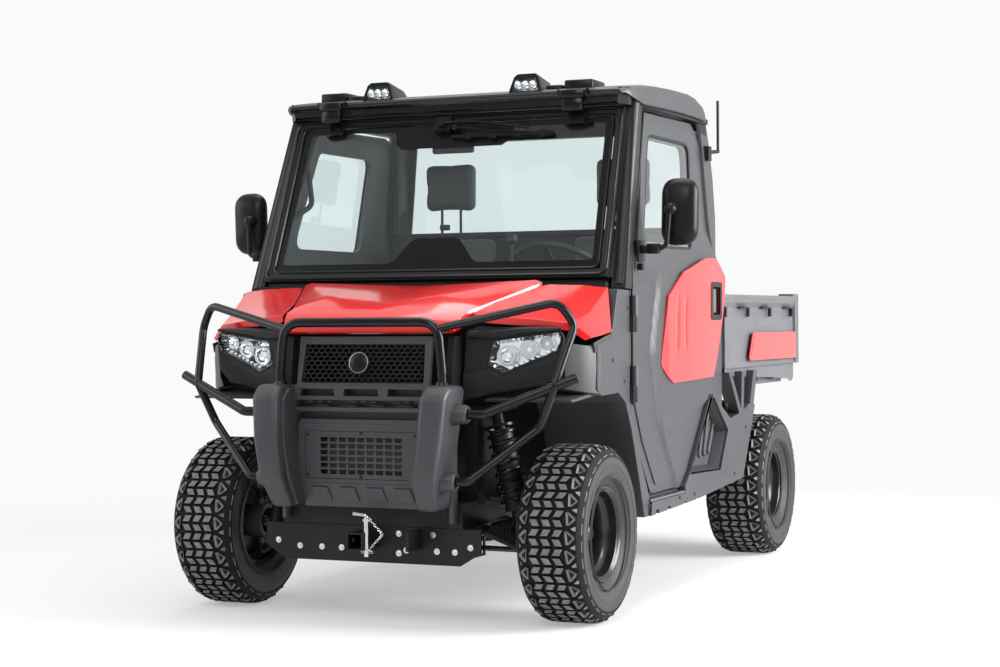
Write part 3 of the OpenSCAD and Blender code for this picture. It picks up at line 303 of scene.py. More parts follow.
cast_metal = finish("cast_metal", (0.09, 0.09, 0.092), 0.48, metal=0.7, mottle=0.15, grain=0.4,
                    grain_size=0.003)
bright_steel = finish("bright_steel", (0.62, 0.62, 0.63), 0.2, metal=1.0, mottle=0.06, mottle_size=0.02)
mirror_chrome = finish("lamp_chrome", (0.8, 0.81, 0.82), 0.08, metal=1.0, mottle=0.03)
vinyl = finish("seat_vinyl", (0.045, 0.055, 0.055), 0.55, mottle=0.08, grain=0.25, grain_size=0.0012,
               cells=True, Specular_IOR_Level=0.3)
lamp_white = finish("lamp_white", (0.86, 0.87, 0.88), 0.25, mottle=0.02)
tail_red = finish("tail_red", (0.4, 0.01, 0.012), 0.12, mottle=0.05, mottle_size=0.01, Coat_Weight=0.8,
                  Coat_Roughness=0.05)
screen_glass = glass("screen_glass", (0.87, 0.935, 0.93))
lens_clear = glass("lens_clear", (0.94, 0.96, 0.97))

NODE_FINISH = {"main_frame": frame_black, "cross_members": frame_black, "lift_foot": frame_black,
               "skid_plate": frame_black, "receivers": frame_black, "front_suspension": frame_black,
               "rear_suspension": frame_black, "front_driveline": cast_metal, "engine": cast_metal,
               "front_bumper": charcoal, "front_grille": soft_black, "bull_bar": satin_tube,
               "front_fascia": soft_black, "lamps": mirror_chrome, "front_fenders": charcoal,
               "hood_corners": red_paint, "cab_frame": soft_black, "cab_tub": soft_black,
               "dashboard": soft_black, "side_panels": charcoal, "seats": vinyl, "roof": charcoal,
               "windscreen": screen_glass, "rear_window": screen_glass, "work_lights": soft_black,
               "wiper": satin_tube, "antenna": soft_black, "hood": red_paint, "door_left": charcoal,
               "door_left_panel": red_paint, "door_left_glass": screen_glass, "door_right": charcoal,
               "door_right_panel": red_paint, "door_right_glass": screen_glass, "cargo_bed": bed_grey,
               "bed_panels": red_paint, "tailgate": bed_grey, "lift_cylinder": frame_black,
               "lift_rod": bright_steel, "steering_rack": cast_metal, "steering_wheel": soft_black,
               "knuckle_left": cast_metal, "knuckle_right": cast_metal}
for node_name, node in nodes.items():
    if node_name.startswith("tyre"):
        chosen = rubber
    elif node_name.startswith("rim"):
        chosen = rim_black
    else:
        chosen = NODE_FINISH[node_name]
    for k in range(max(1, len(node.data.materials))):
        if k < len(node.data.materials):
            node.data.materials[k] = chosen
        else:
            node.data.materials.append(chosen)

# ---------------------------------------------------------------- modelling helpers

SHARP = math.radians(32)


def link_piece(mesh, name, body, mat, stands_for=()):
    piece = bpy.data.objects.new(name, mesh)
    bpy.context.collection.objects.link(piece)
    if mat is not None:
        mesh.materials.append(mat)
    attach(piece, body)
    if stands_for:
        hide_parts(*stands_for)
    return piece


def add_bevel(piece, width, segments=2):
    bevel = piece.modifiers.new("rounded_edges", "BEVEL")
    bevel.width, bevel.segments = width, segments
    bevel.limit_method, bevel.angle_limit = "ANGLE", SHARP
    bevel.harden_normals = True


def solid(bm, name, body, mat, stands_for=(), bevel=0.0, segments=2, recalc=True, sharp=SHARP):
    """Closes a bmesh into a piece with soft edges."""
    bmesh.ops.remove_doubles(bm, verts=bm.verts, dist=2e-5)
    if recalc:
        bmesh.ops.recalc_face_normals(bm, faces=bm.faces)
    mesh = bpy.data.meshes.new(name)
    bm.to_mesh(mesh)
    bm.free()
    mesh.polygons.foreach_set("use_smooth", [True] * len(mesh.polygons))
    mesh.set_sharp_from_angle(angle=sharp)
    piece = link_piece(mesh, name, body, mat, stands_for)
    if bevel:
        add_bevel(piece, bevel, segments)
    return piece


def softened(node_name, width, keep=None):
    """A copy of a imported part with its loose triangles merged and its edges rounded."""
    source = nodes[node_name]
    bm = bmesh.new()
    bm.from_mesh(source.data)
    bmesh.ops.remove_doubles(bm, verts=bm.verts, dist=2e-5)
    bmesh.ops.dissolve_limit(bm, angle_limit=math.radians(1.5), verts=bm.verts, edges=bm.edges)
    if keep:
        keep(bm)
    body = source["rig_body"] if "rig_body" in source else body_of(source)[0]
    mesh = bpy.data.meshes.new(node_name + "_shape")
    bm.to_mesh(mesh)
    bm.free()
    mesh.polygons.foreach_set("use_smooth", [True] * len(mesh.polygons))
    mesh.set_sharp_from_angle(angle=SHARP)
    piece = link_piece(mesh, node_name + "_shape", body, NODE_FINISH[node_name], (node_name,))
    if width:
        add_bevel(piece, width)


def box(bm, low, high, bevel=0.0, segments=2):
    """A block between two corners."""
    low, high = Vector(low), Vector(high)
    made = bmesh.ops.create_cube(bm, size=1)["verts"]
    place = Matrix.Translation((low + high) / 2) @ Matrix.Diagonal((*(high - low), 1))
    bmesh.ops.transform(bm, matrix=place, verts=made)
    if bevel:
        edges = list({e for v in made for e in v.link_edges})
        bmesh.ops.bevel(bm, geom=edges, offset=bevel, offset_type="OFFSET", segments=segments, profile=0.5,
                        affect="EDGES", material=-1, clamp_overlap=True)


def rod(bm, a, b, radius, end_radius=None, steps=20):
    """A round bar between two points."""
    a, b = Vector(a), Vector(b)
    made = bmesh.ops.create_cone(bm, cap_ends=True, segments=steps, radius1=radius, radius2=radius
                                 if end_radius is None else end_radius, depth=(b - a).length)["verts"]
    turn = (b - a).to_track_quat("Z", "Y").to_matrix().to_4x4()
    bmesh.ops.transform(bm, matrix=Matrix.Translation((a + b) / 2) @ turn, verts=made)


def ball(bm, place, radius, squash=(1, 1, 1), steps=20):
    made = bmesh.ops.create_uvsphere(bm, u_segments=steps, v_segments=steps // 2, radius=radius)["verts"]
    bmesh.ops.transform(bm, matrix=Matrix.Translation(place) @ Matrix.Diagonal((*squash, 1)), verts=made)


def plate(bm, outline, through, holes=()):
    """A flat plate from an outline of points, cut by holes, and given its thickness along `through`."""
    if holes:
        loops = []
        for points in (outline, *holes):
            made = [bm.verts.new(p) for p in points]
            loops += [bm.edges.new((made[k], made[k - 1])) for k in range(len(made))]
        filled = bmesh.ops.triangle_fill(bm, edges=loops, use_beauty=True)["geom"]
        faces = [f for f in filled if isinstance(f, bmesh.types.BMFace)]
        inner = list({e for f in faces for e in f.edges if len(e.link_faces) == 2})
        bmesh.ops.dissolve_limit(bm, angle_limit=0.01, verts=[], edges=inner)
        faces = list({f for e in loops if e.is_valid for f in e.link_faces})
    else:
        faces = [bm.faces.new([bm.verts.new(p) for p in outline])]
    out = bmesh.ops.extrude_face_region(bm, geom=faces)["geom"]
    bmesh.ops.translate(bm, vec=through, verts=[g for g in out if isinstance(g, bmesh.types.BMVert)])


def rounded_path(corners, radius, steps=6):
    """A path through corners with each turn rounded."""
    corners = [Vector(c) for c in corners]
    path = [corners[0]]
    for before, here, after in zip(corners, corners[1:], corners[2:]):
        back, on = (before - here), (after - here)
        turn = math.pi - back.angle(on)
        reach = min(radius * math.tan(turn / 2), back.length * 0.49, on.length * 0.49)
        start, end = here + back.normalized() * reach, here + on.normalized() * reach
        for k in range(steps + 1):
            t = k / steps
            path.append(start * (1 - t) ** 2 + here * 2 * t * (1 - t) + end * t ** 2)
    path.append(corners[-1])
    return path


def tube(bm, path, radius, steps=14, caps=True):
    """A circle extruded along a path."""
    path = [Vector(p) for p in path]
    first = (path[1] - path[0]).normalized()
    level = Vector((0, 0, 1)) if abs(first.z) < 0.9 else Vector((0, 1, 0))
    side = first.cross(level).normalized()
    made = bmesh.ops.create_circle(bm, cap_ends=False, segments=steps, radius=1)["verts"]
    shape = [v.co.copy() for v in made]
    ring = list({e for v in made for e in v.link_edges})
    start_ring = ring
    order = made
    for k, point in enumerate(path):
        ahead = path[min(k + 1, len(path) - 1)] - path[max(k - 1, 0)]
        ahead.normalize()
        side = (side - ahead * side.dot(ahead)).normalized()
        over = ahead.cross(side)
        if k:
            grown = bmesh.ops.extrude_edge_only(bm, edges=ring, use_select_history=False)["geom"]
            ring = [g for g in grown if isinstance(g, bmesh.types.BMEdge)
                    and all(v not in order for v in g.verts)]
            partner = {}
            new = {g for g in grown if isinstance(g, bmesh.types.BMVert)}
            for v in order:
                partner[v] = next(e.other_vert(v) for e in v.link_edges if e.other_vert(v) in new)
            order = [partner[v] for v in order]
        for v, c in zip(order, shape):
            v.co = point + (side * c.x + over * c.y) * radius
    if caps:
        bmesh.ops.edgeloop_fill(bm, edges=start_ring)
        bmesh.ops.edgeloop_fill(bm, edges=ring)


def lathe(bm, profile, centre, axis=(1, 0, 0), steps=72):
    """A profile of (radius, along) pairs spun round an axis through the centre."""
    axis = Vector(axis)
    out = Vector((0, 0, 1)) if abs(axis.z) < 0.9 else Vector((0, 1, 0))
    centre = Vector(centre)
    line = [bm.verts.new(centre + out * r + axis * a) for r, a in profile]
    edges = [bm.edges.new(pair) for pair in zip(line, line[1:])]
    bmesh.ops.spin(bm, geom=line + edges, cent=centre, axis=axis, angle=math.tau, steps=steps, use_merge=True)
    bmesh.ops.remove_doubles(bm, verts=bm.verts, dist=1e-6)


def mirrored(bm):
    """Adds the other side's copy of everything in the bmesh."""
    copy = bmesh.ops.duplicate(bm, geom=bm.verts[:] + bm.edges[:] + bm.faces[:])["geom"]
    verts = [g for g in copy if isinstance(g, bmesh.types.BMVert)]
    bmesh.ops.scale(bm, vec=(-1, 1, 1), verts=verts)
    bmesh.ops.reverse_faces(bm, faces=[g for g in copy if isinstance(g, bmesh.types.BMFace)])


# ---------------------------------------------------------------- wheels

PITCHES = 30
GROOVE = 0.011


def tyre_profile(half, top, seat):
    """Half section of the carcass from bead to bead as (radius, along) pairs."""
    side = [(seat, half * 0.73), (seat + 0.018, half * 0.735), (seat + 0.03, half * 0.82),
            (seat + 0.05, half * 0.92), (seat + 0.075, half * 0.985), (seat + 0.095, half),
            (top - 0.056, half * 0.995), (top - 0.046, half * 0.985), (top - 0.030, half * 0.945),
            (top - 0.018, half * 0.85), (top - GROOVE, half * 0.6), (top - GROOVE, half * 0.25)]
    return side + [(r, -a) for r, a in reversed(side)]


def tread_top(x, half, top):
    """Radius of the tread's outer surface at a distance from the wheel's middle."""
    share = abs(x) / half
    if share < 0.55:
        return top
    if share < 0.8:
        return top - 0.008 * ((share - 0.55) / 0.25) ** 1.5
    return top - 0.008 - 0.034 * ((share - 0.8) / 0.2) ** 1.4


def tread_block(bm, corners, half, top, draft=0.93, inset=0.0):
    """One tread block: corners are (across, around) in metres on the unrolled tread."""
    def on_tyre(x, s, drop):
        r = tread_top(x, half, top) - drop
        angle = s / top
        return Vector((x, -r * math.sin(angle), r * math.cos(angle)))
    cx = sum(c[0] for c in corners) / len(corners)
    cs = sum(c[1] for c in corners) / len(corners)
    face = bm.faces.new([bm.verts.new(on_tyre(x, s, GROOVE + 0.003)) for x, s in corners])
    out = bmesh.ops.extrude_face_region(bm, geom=[face])["geom"]
    cap = next(g for g in out if isinstance(g, bmesh.types.BMFace))
    for v in cap.verts:
        s = top * math.atan2(-v.co.y, v.co.z)
        v.co = on_tyre(cx + (v.co.x - cx) * draft, cs + (s - cs) * draft, 0)
    # slot 2 is the painted highlight on the block's top
    cap.material_index = 2
    # with an inset, the ring round the top keeps the painted highlight and the middle goes back to the dark
    # rubber
    if inset:
        bmesh.ops.inset_region(bm, faces=[cap], thickness=inset, depth=0)
        bmesh.ops.scale(bm, vec=(1, 0.984, 0.984), verts=cap.verts[:])
        cap.material_index = 0


def build_tyre(name, stands_for, place, half, body):
    seat, top = 0.155, place[2]
    bm = bmesh.new()
    pitch = math.tau * top / PITCHES
    for row, lean in ((0, 1), (1, -1)):
        s = row * pitch / 2
        for x in (-0.043, 0, 0.043):
            wide, tall, lean_by = 0.0142, pitch * 0.18, lean * 0.0066
            tread_block(bm, [(x - wide + lean_by, s - tall), (x + wide + lean_by, s - tall),
                             (x + wide - lean_by, s + tall), (x - wide - lean_by, s + tall)], half, top)
    for side in (-1, 1):
        shift = 0.25 * pitch
        near, far, edge = 0.068, half * 0.83, half * 0.985
        tread_block(bm, [(side * near, shift - pitch * 0.36), (side * (near + 0.006), shift + pitch * 0.36),
                         (side * (near + 0.016), shift + pitch * 0.38), (side * far, shift + pitch * 0.05),
                         (side * far, shift - pitch * 0.06), (side * (near + 0.01), shift - pitch * 0.4)],
                    half, top, inset=0.0085)
        tread_block(bm, [(side * (far - 0.014), shift + pitch * 0.47),
                         (side * (far - 0.014), shift + pitch * 0.53), (side * edge, shift + pitch * 0.86),
                         (side * edge, shift + pitch * 0.14)], half, top, draft=0.9)
    bmesh.ops.recalc_face_normals(bm, faces=bm.faces)
    once = bm.verts[:] + bm.edges[:] + bm.faces[:]
    bmesh.ops.spin(bm, geom=once, cent=(0, 0, 0), axis=(1, 0, 0), angle=math.tau * (PITCHES - 1) / PITCHES,
                   steps=PITCHES - 1, use_duplicate=True)
    treads = len(bm.faces)
    bmesh.ops.translate(bm, vec=place, verts=bm.verts)
    carcass = bmesh.new()
    lathe(carcass, tyre_profile(half, top, seat), place, steps=96)
    for side in (-1, 1):
        for r, lift in ((0.198, 0.0022), (0.243, 0.0018)):
            lathe(carcass, [(r - 0.004, side * (half * 0.985 - 0.004)), (r, side * (half + lift - 0.001)),
                            (r + 0.004, side * (half * 0.985 - 0.004))], place, steps=96)
    bmesh.ops.recalc_face_normals(carcass, faces=carcass.faces)
    spare = bpy.data.meshes.new("carcass")
    carcass.to_mesh(spare)
    carcass.free()
    bm.from_mesh(spare)
    bpy.data.meshes.remove(spare)
    bm.faces.ensure_lookup_table()
    for k, face in enumerate(bm.faces):
        if k >= treads:
            r = math.hypot(face.calc_center_median().y - place[1], face.calc_center_median().z - place[2])
            face.material_index = 1 if r < top - 0.05 else 0
    piece = solid(bm, name, body, rubber, (stands_for,), recalc=False, sharp=math.radians(30))
    piece.data.materials.append(wall_rubber)
    # slot 2: the painted highlight on the tread tops
    piece.data.materials.append(tread_top_highlight)


def build_rim(name, stands_for, place, outward, body):
    x = outward
    bm = bmesh.new()
    lathe(bm, [(0.172, 0.097 * x), (0.169, 0.1 * x), (0.163, 0.0985 * x), (0.158, 0.093 * x),
               (0.151, 0.088 * x), (0.1485, 0.062 * x), (0.146, 0.055 * x), (0.134, 0.047 * x),
               (0.129, 0.04 * x), (0.1275, 0.004 * x), (0.1265, -0.008 * x), (0.118, -0.015 * x),
               (0.103, -0.0185 * x), (0.092, -0.016 * x), (0.086, -0.012 * x), (0.068, -0.012 * x),
               (0.06, -0.018 * x), (0.038, -0.018 * x), (0.036, -0.018 * x), (0.036, -0.0255 * x),
               (0.1, -0.0255 * x), (0.122, -0.0235 * x), (0.1255, -0.03 * x), (0.1275, -0.046 * x),
               (0.148, -0.062 * x), (0.151, -0.088 * x), (0.158, -0.093 * x), (0.163, -0.0985 * x),
               (0.169, -0.1 * x), (0.172, -0.097 * x), (0.168, -0.091 * x), (0.1552, -0.0905 * x),
               (0.1548, -0.062 * x), (0.132, -0.046 * x), (0.132, 0.034 * x), (0.1548, 0.05 * x),
               (0.1552, 0.0905 * x), (0.168, 0.091 * x), (0.172, 0.097 * x)], place, steps=96)
    bmesh.ops.remove_doubles(bm, verts=bm.verts, dist=1e-6)
    px, py, pz = place
    for k in range(4):
        turn = math.tau * (k + 0.5) / 4
        y, z = py + 0.055 * math.cos(turn), pz + 0.055 * math.sin(turn)
        rod(bm, (px - 0.019 * x, y, z), (px + 0.004 * x, y, z), 0.0105, 0.0095, steps=6)
        rod(bm, (px - 0.019 * x, y, z), (px - 0.008 * x, y, z), 0.0145, steps=18)
    for k in range(8):
        turn = math.tau * k / 8
        y, z = py + 0.104 * math.cos(turn), pz + 0.104 * math.sin(turn)
        ball(bm, (px - 0.019 * x, y, z), 0.006, (0.5, 1, 1), steps=10)
    lathe(bm, [(0.0005, 0.05 * x), (0.02, 0.0495 * x), (0.028, 0.045 * x), (0.031, 0.036 * x),
               (0.033, 0.0 * x), (0.04, -0.008 * x), (0.04, -0.019 * x)], place, steps=40)
    solid(bm, name, body, rim_black, (stands_for,), recalc=True, sharp=math.radians(38))


for corner in ("front_left", "front_right", "rear_left", "rear_right"):
    low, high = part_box("tyre_" + corner)
    middle = (low + high) / 2
    out = 1 if corner.endswith("left") else -1
    build_tyre("tread_tyre_" + corner, "tyre_" + corner, tuple(middle), (high.x - low.x) / 2,
               "wheel_" + corner)
    build_rim("steel_rim_" + corner, "rim_" + corner, tuple(middle), out, "wheel_" + corner)


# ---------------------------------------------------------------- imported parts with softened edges

for part_name, width, slot_name in (
        ("front_fenders", 0.006, "charcoal_plastic"), ("side_panels", 0.004, "charcoal_plastic"),
        ("cab_frame", 0.003, "black_steel"), ("cab_tub", 0.004, "charcoal_plastic"),
        ("dashboard", 0.008, "charcoal_plastic"), ("main_frame", 0.003, "black_steel"),
        ("cross_members", 0.003, "black_steel")):
    softened(part_name, width)


# ---------------------------------------------------------------- front end


def with_thickness(bm, depth):
    """Turns an open skin into a closed wall, its thickness going inwards."""
    bmesh.ops.remove_doubles(bm, verts=bm.verts, dist=2e-5)
    bmesh.ops.recalc_face_normals(bm, faces=bm.faces)
    bmesh.ops.solidify(bm, geom=bm.faces[:], thickness=depth)


def skin(bm, rows):
    """Rows of points joined by bridging each row to the next."""
    before = None
    for row in rows:
        line = [bm.verts.new(p) for p in row]
        edges = [bm.edges.new(pair) for pair in zip(line, line[1:])]
        if before:
            bmesh.ops.bridge_loops(bm, edges=before + edges)
        before = edges


def both(points):
    """A half row of points from the middle outwards, made into a whole row."""
    other = [(-x, y, z) for x, y, z in reversed(points) if x > 1e-6]
    return other + list(points)


def build_hood():
    bm = bmesh.new()
    skin(bm, [both(row) for row in (
        [(0, -1.416, 1.034), (0.21, -1.4155, 1.034), (0.33, -1.408, 1.036), (0.338, -1.372, 1.047)],
        [(0, -1.431, 1.040), (0.21, -1.430, 1.040), (0.338, -1.421, 1.043), (0.347, -1.372, 1.055)],
        [(0, -1.409, 1.078), (0.21, -1.407, 1.080), (0.35, -1.385, 1.088), (0.361, -1.352, 1.088)],
        [(0, -1.372, 1.1), (0.22, -1.368, 1.104), (0.36, -1.353, 1.107), (0.367, -1.335, 1.09)],
        [(0, -1.288, 1.134), (0.226, -1.288, 1.162), (0.366, -1.305, 1.119), (0.374, -1.3, 1.1)],
        [(0, -1.27, 1.141), (0.25, -1.262, 1.169), (0.38, -1.27, 1.127), (0.386, -1.268, 1.11)],
        [(0, -0.977, 1.203), (0.47, -0.977, 1.221), (0.492, -0.977, 1.214), (0.494, -0.977, 1.196)])])
    with_thickness(bm, -0.004)
    for x in (-0.4, 0.34):
        rod(bm, (x, -0.955, 1.204), (x + 0.06, -0.955, 1.204), 0.009)
        box(bm, (x, -0.984, 1.196), (x + 0.06, -0.955, 1.204))
    solid(bm, "hood_panel", "hood", red_paint, ("hood",), bevel=0.005, segments=3)


def build_hood_corners():
    bm = bmesh.new()
    skin(bm, [
        [(0.384, -1.345, 1.078), (0.398, -1.338, 1.071), (0.60, -1.27, 1.052), (0.708, -1.238, 1.038),
         (0.752, -1.216, 1.004)],
        [(0.384, -1.345, 1.098), (0.4, -1.343, 1.096), (0.60, -1.275, 1.076), (0.712, -1.234, 1.062),
         (0.77, -1.2, 1.012)],
        [(0.418, -1.2, 1.142), (0.44, -1.19, 1.142), (0.63, -1.16, 1.118), (0.738, -1.13, 1.098),
         (0.776, -1.1, 1.022)],
        [(0.505, -0.984, 1.2), (0.53, -0.984, 1.203), (0.66, -0.984, 1.199), (0.752, -0.984, 1.19),
         (0.78, -1.03, 1.032)]])
    with_thickness(bm, -0.005)
    mirrored(bm)
    solid(bm, "hood_corner_panels", "chassis", red_paint, ("hood_corners",), bevel=0.004,
          segments=3, recalc=False)


GRILLE_LEAN = -11
BADGE_PLACE = Vector((0, -1.4865, 0.93))


def leaned(bm, y, z):
    """Leans a bmesh back with the grille, about a line along X."""
    place = Matrix.Translation((0, y, z))
    turn = Matrix.Rotation(math.radians(GRILLE_LEAN), 4, "X")
    bmesh.ops.transform(bm, matrix=place @ turn @ place.inverted(), verts=bm.verts)


def honeycomb(bm, x0, x1, z0, z1, y, cell_w, cell_h, bar, depth):
    """A sheet of flattened six-sided cells with the middles cut out."""
    faces = []
    rows = int((z1 - z0) / (cell_h * 0.75))
    for row in range(rows):
        z = z0 + cell_h * 0.5 + row * cell_h * 0.75
        shift = (row % 2) * cell_w / 2
        count = int((x1 - x0 - shift) / cell_w)
        for k in range(count):
            x = x0 + shift + cell_w * (k + 0.5)
            ring = [(x + cell_w * a, y, z + cell_h * b) for a, b in
                    ((-0.5, -0.25), (0, -0.5), (0.5, -0.25), (0.5, 0.25), (0, 0.5), (-0.5, 0.25))]
            faces.append(bm.faces.new([bm.verts.new(p) for p in ring]))
    bmesh.ops.remove_doubles(bm, verts=list({v for f in faces for v in f.verts}), dist=1e-4)
    faces = [f for f in faces if f.is_valid]
    bmesh.ops.inset_individual(bm, faces=faces, thickness=bar, depth=0)
    bmesh.ops.delete(bm, geom=faces, context="FACES_ONLY")
    sheet = [f for f in bm.faces if abs(f.calc_center_median().y - y) < 1e-5 and abs(f.normal.y) > 0.9]
    out = bmesh.ops.extrude_face_region(bm, geom=sheet)["geom"]
    bmesh.ops.translate(bm, vec=(0, depth, 0), verts=[g for g in out if isinstance(g, bmesh.types.BMVert)])


def build_grille():
    mesh_part = bmesh.new()
    honeycomb(mesh_part, -0.245, 0.245, 0.858, 1.0, -1.4685, 0.0245, 0.0205, 0.0019, 0.005)
    leaned(mesh_part, -1.47, 0.848)
    solid(mesh_part, "grille_mesh", "chassis", soft_black)

    bm = bmesh.new()
    plate(bm, [(-0.262, -1.47, 0.846), (0.262, -1.47, 0.846), (0.262, -1.47, 1.026), (-0.262, -1.47, 1.026)],
          (0, 0.026, 0), holes=([(-0.244, -1.47, 0.858), (0.244, -1.47, 0.858), (0.238, -1.47, 0.998),
                                 (-0.238, -1.47, 0.998)],))
    leaned(bm, -1.47, 0.848)
    box(bm, (-0.28, -1.47, 0.752), (0.28, -1.447, 0.772), bevel=0.008, segments=3)
    for x in (-0.165, -0.055, 0.055, 0.165):
        box(bm, (x - 0.03, -1.462, 0.772), (x + 0.03, -1.45, 0.779), bevel=0.003)
    plate(bm, [(-0.281, -1.476, 0.796), (0.281, -1.476, 0.796), (0.281, -1.476, 0.849),
               (-0.281, -1.476, 0.849)], (0, 0.026, 0),
          holes=[[(x - 0.07, -1.476, 0.811), (x + 0.07, -1.476, 0.811), (x + 0.066, -1.476, 0.836),
                  (x - 0.066, -1.476, 0.836)] for x in (-0.176, 0, 0.176)])
    for x in (-0.176, 0, 0.176):
        for hx in (-0.04, 0, 0.04):
            box(bm, (x + hx - 0.014, -1.46, 0.786), (x + hx + 0.014, -1.45, 0.797), bevel=0.003)
    # lower plate, with a raised rim round the louvre panel
    plate(bm, [(-0.252, -1.48, 0.5), (0.252, -1.48, 0.5), (0.252, -1.48, 0.712), (-0.252, -1.48, 0.712)],
          (0, 0.012, 0), holes=([(-0.226, -1.48, 0.516), (0.226, -1.48, 0.516), (0.226, -1.48, 0.686),
                                 (-0.226, -1.48, 0.686)],))
    plate(bm, [(-0.252, -1.482, 0.7), (0.252, -1.482, 0.7), (0.252, -1.462, 0.728),
               (-0.252, -1.462, 0.728)], (0, 0.01, 0))
    # valance
    plate(bm, [(-0.244, -1.48, 0.5), (0.244, -1.48, 0.5), (0.24, -1.45, 0.413), (-0.24, -1.45, 0.413)],
          (0, 0.016, 0))
    for x in (-0.165, -0.055, 0.055, 0.165):
        plate(bm, [(x - 0.036, -1.4825, 0.486), (x + 0.03, -1.4825, 0.486), (x + 0.042, -1.463, 0.435),
                   (x - 0.024, -1.463, 0.435)], (0, 0.006, 0))
    box(bm, (-0.293, -1.43, 0.42), (0.293, -1.42, 0.85))
    solid(bm, "grille_frame", "chassis", charcoal, ("front_grille",), bevel=0.0025)

    louvres = bmesh.new()
    cols, rows = 9, 6
    x0, x1, z0, z1 = -0.166, 0.166, 0.53, 0.668
    bmesh.ops.create_grid(louvres, x_segments=cols, y_segments=rows, size=0.5)
    bmesh.ops.transform(louvres, verts=louvres.verts,
                        matrix=Matrix.Translation(((x0 + x1) / 2, -1.477, (z0 + z1) / 2))
                        @ Matrix.Rotation(math.pi / 2, 4, "X") @ Matrix.Diagonal((x1 - x0, z1 - z0, 1, 1)))
    cells = louvres.faces[:]
    bmesh.ops.inset_individual(louvres, faces=cells, thickness=0.0038, depth=0)
    for cell in cells:
        middle = cell.calc_center_median()
        for v in cell.verts:
            if v.co.z < middle.z:
                v.co.x += (middle.x - v.co.x) * 0.2
            else:
                v.co.z -= 0.002
    bmesh.ops.delete(louvres, geom=cells, context="FACES_ONLY")
    rim = [e for e in louvres.edges if len(e.link_faces) == 1 and
           (abs(abs(e.verts[0].co.x) - 0.166) < 1e-4 and abs(abs(e.verts[1].co.x) - 0.166) < 1e-4
            or all(min(abs(v.co.z - z0), abs(v.co.z - z1)) < 1e-4 for v in e.verts))]
    grown = bmesh.ops.extrude_edge_only(louvres, edges=rim)["geom"]
    for v in (g for g in grown if isinstance(g, bmesh.types.BMVert)):
        v.co.x = max(-0.224, min(0.224, v.co.x * 1.36)) if abs(abs(v.co.x) - 0.166) < 1e-3 else v.co.x
        v.co.z = 0.517 if abs(v.co.z - z0) < 1e-3 else (0.685 if abs(v.co.z - z1) < 1e-3 else v.co.z)
    with_thickness(louvres, 0.004)
    solid(louvres, "louvre_panel", "chassis", charcoal, bevel=0.0008, segments=1)

    screws = bmesh.new()
    for x, z in ((-0.212, 0.53), (0.212, 0.53), (-0.212, 0.673), (0.212, 0.673), (0, 0.524), (0, 0.679)):
        rod(screws, (x, -1.4755, z), (x, -1.4805, z), 0.0055, 0.0045, steps=14)
    solid(screws, "grille_screws", "chassis", satin_tube, bevel=0.0008)

    badge = bmesh.new()
    lathe(badge, [(0.0005, -0.006), (0.02, -0.0055), (0.031, -0.003), (0.034, 0.001), (0.034, 0.006),
                  (0.0005, 0.006)], BADGE_PLACE, (0, 1, 0), steps=48)
    leaned(badge, BADGE_PLACE.y, BADGE_PLACE.z)
    solid(badge, "badge_face", "chassis", satin_tube)
    ring = bmesh.new()
    lathe(ring, [(0.033, -0.002), (0.0345, -0.0045), (0.038, -0.004), (0.0395, 0), (0.0385, 0.005),
                 (0.033, 0.005), (0.033, -0.002)], BADGE_PLACE, (0, 1, 0), steps=48)
    leaned(ring, BADGE_PLACE.y, BADGE_PLACE.z)
    solid(ring, "badge_ring", "chassis", bright_steel)


def build_bumper():
    bm = bmesh.new()
    side = [(-1.548, 0.853), (-1.591, 0.813), (-1.605, 0.66), (-1.605, 0.52), (-1.545, 0.415), (-1.43, 0.415),
            (-1.43, 0.833), (-1.445, 0.853)]
    plate(bm, [(0.283, y, z) for y, z in side], (0.099, 0, 0))
    for v in bm.verts:
        # the pads narrow and lean inwards towards their feet
        low = max(0, min(1, (0.703 - v.co.z) / 0.19))
        lowest = max(0, min(1, (0.51 - v.co.z) / 0.1))
        inner = 0.283 - 0.004 * (v.co.z < 0.8) - 0.026 * low - 0.008 * lowest
        outer = 0.382 - 0.006 * (v.co.z < 0.8) - 0.031 * low - 0.019 * lowest
        v.co.x = inner if v.co.x < 0.33 else outer
    edges = [e for e in bm.edges if e.calc_face_angle(0) > 0.4 and any(v.co.y < -1.5 for v in e.verts)]
    bmesh.ops.bevel(bm, geom=edges, offset=0.02, offset_type="OFFSET", segments=5, profile=0.5,
                    affect="EDGES", material=-1, clamp_overlap=True)
    # inner rib beside each pad
    rib = [(-1.53, 0.838), (-1.572, 0.8), (-1.585, 0.655), (-1.584, 0.525), (-1.528, 0.425), (-1.43, 0.425),
           (-1.43, 0.838)]
    rib_in, rib_out, rib_back = 0.2665, 0.2795, 0.018
    plate(bm, [(rib_in - 0.03 * max(0, min(1, (0.703 - z) / 0.19)), y + rib_back, z) for y, z in rib],
          (rib_out - rib_in, 0, 0))
    for x, y, z in ((0.42, -1.478, 0.752), (0.39, -1.515, 0.52)):
        lathe(bm, [(0.018, 0.0), (0.026, 0.001), (0.031, -0.003), (0.034, -0.01), (0.034, -0.03),
                   (0.038, -0.045), (0.042, -0.062), (0.018, -0.062), (0.018, 0.0)], (x, y, z), (1, 0, 0),
              steps=40)
    box(bm, (0.325, -1.44, 0.365), (0.342, -1.4, 0.768), bevel=0.002)
    mirrored(bm)
    solid(bm, "bumper_pads", "chassis", charcoal, ("front_bumper",), bevel=0.003,
          recalc=False)


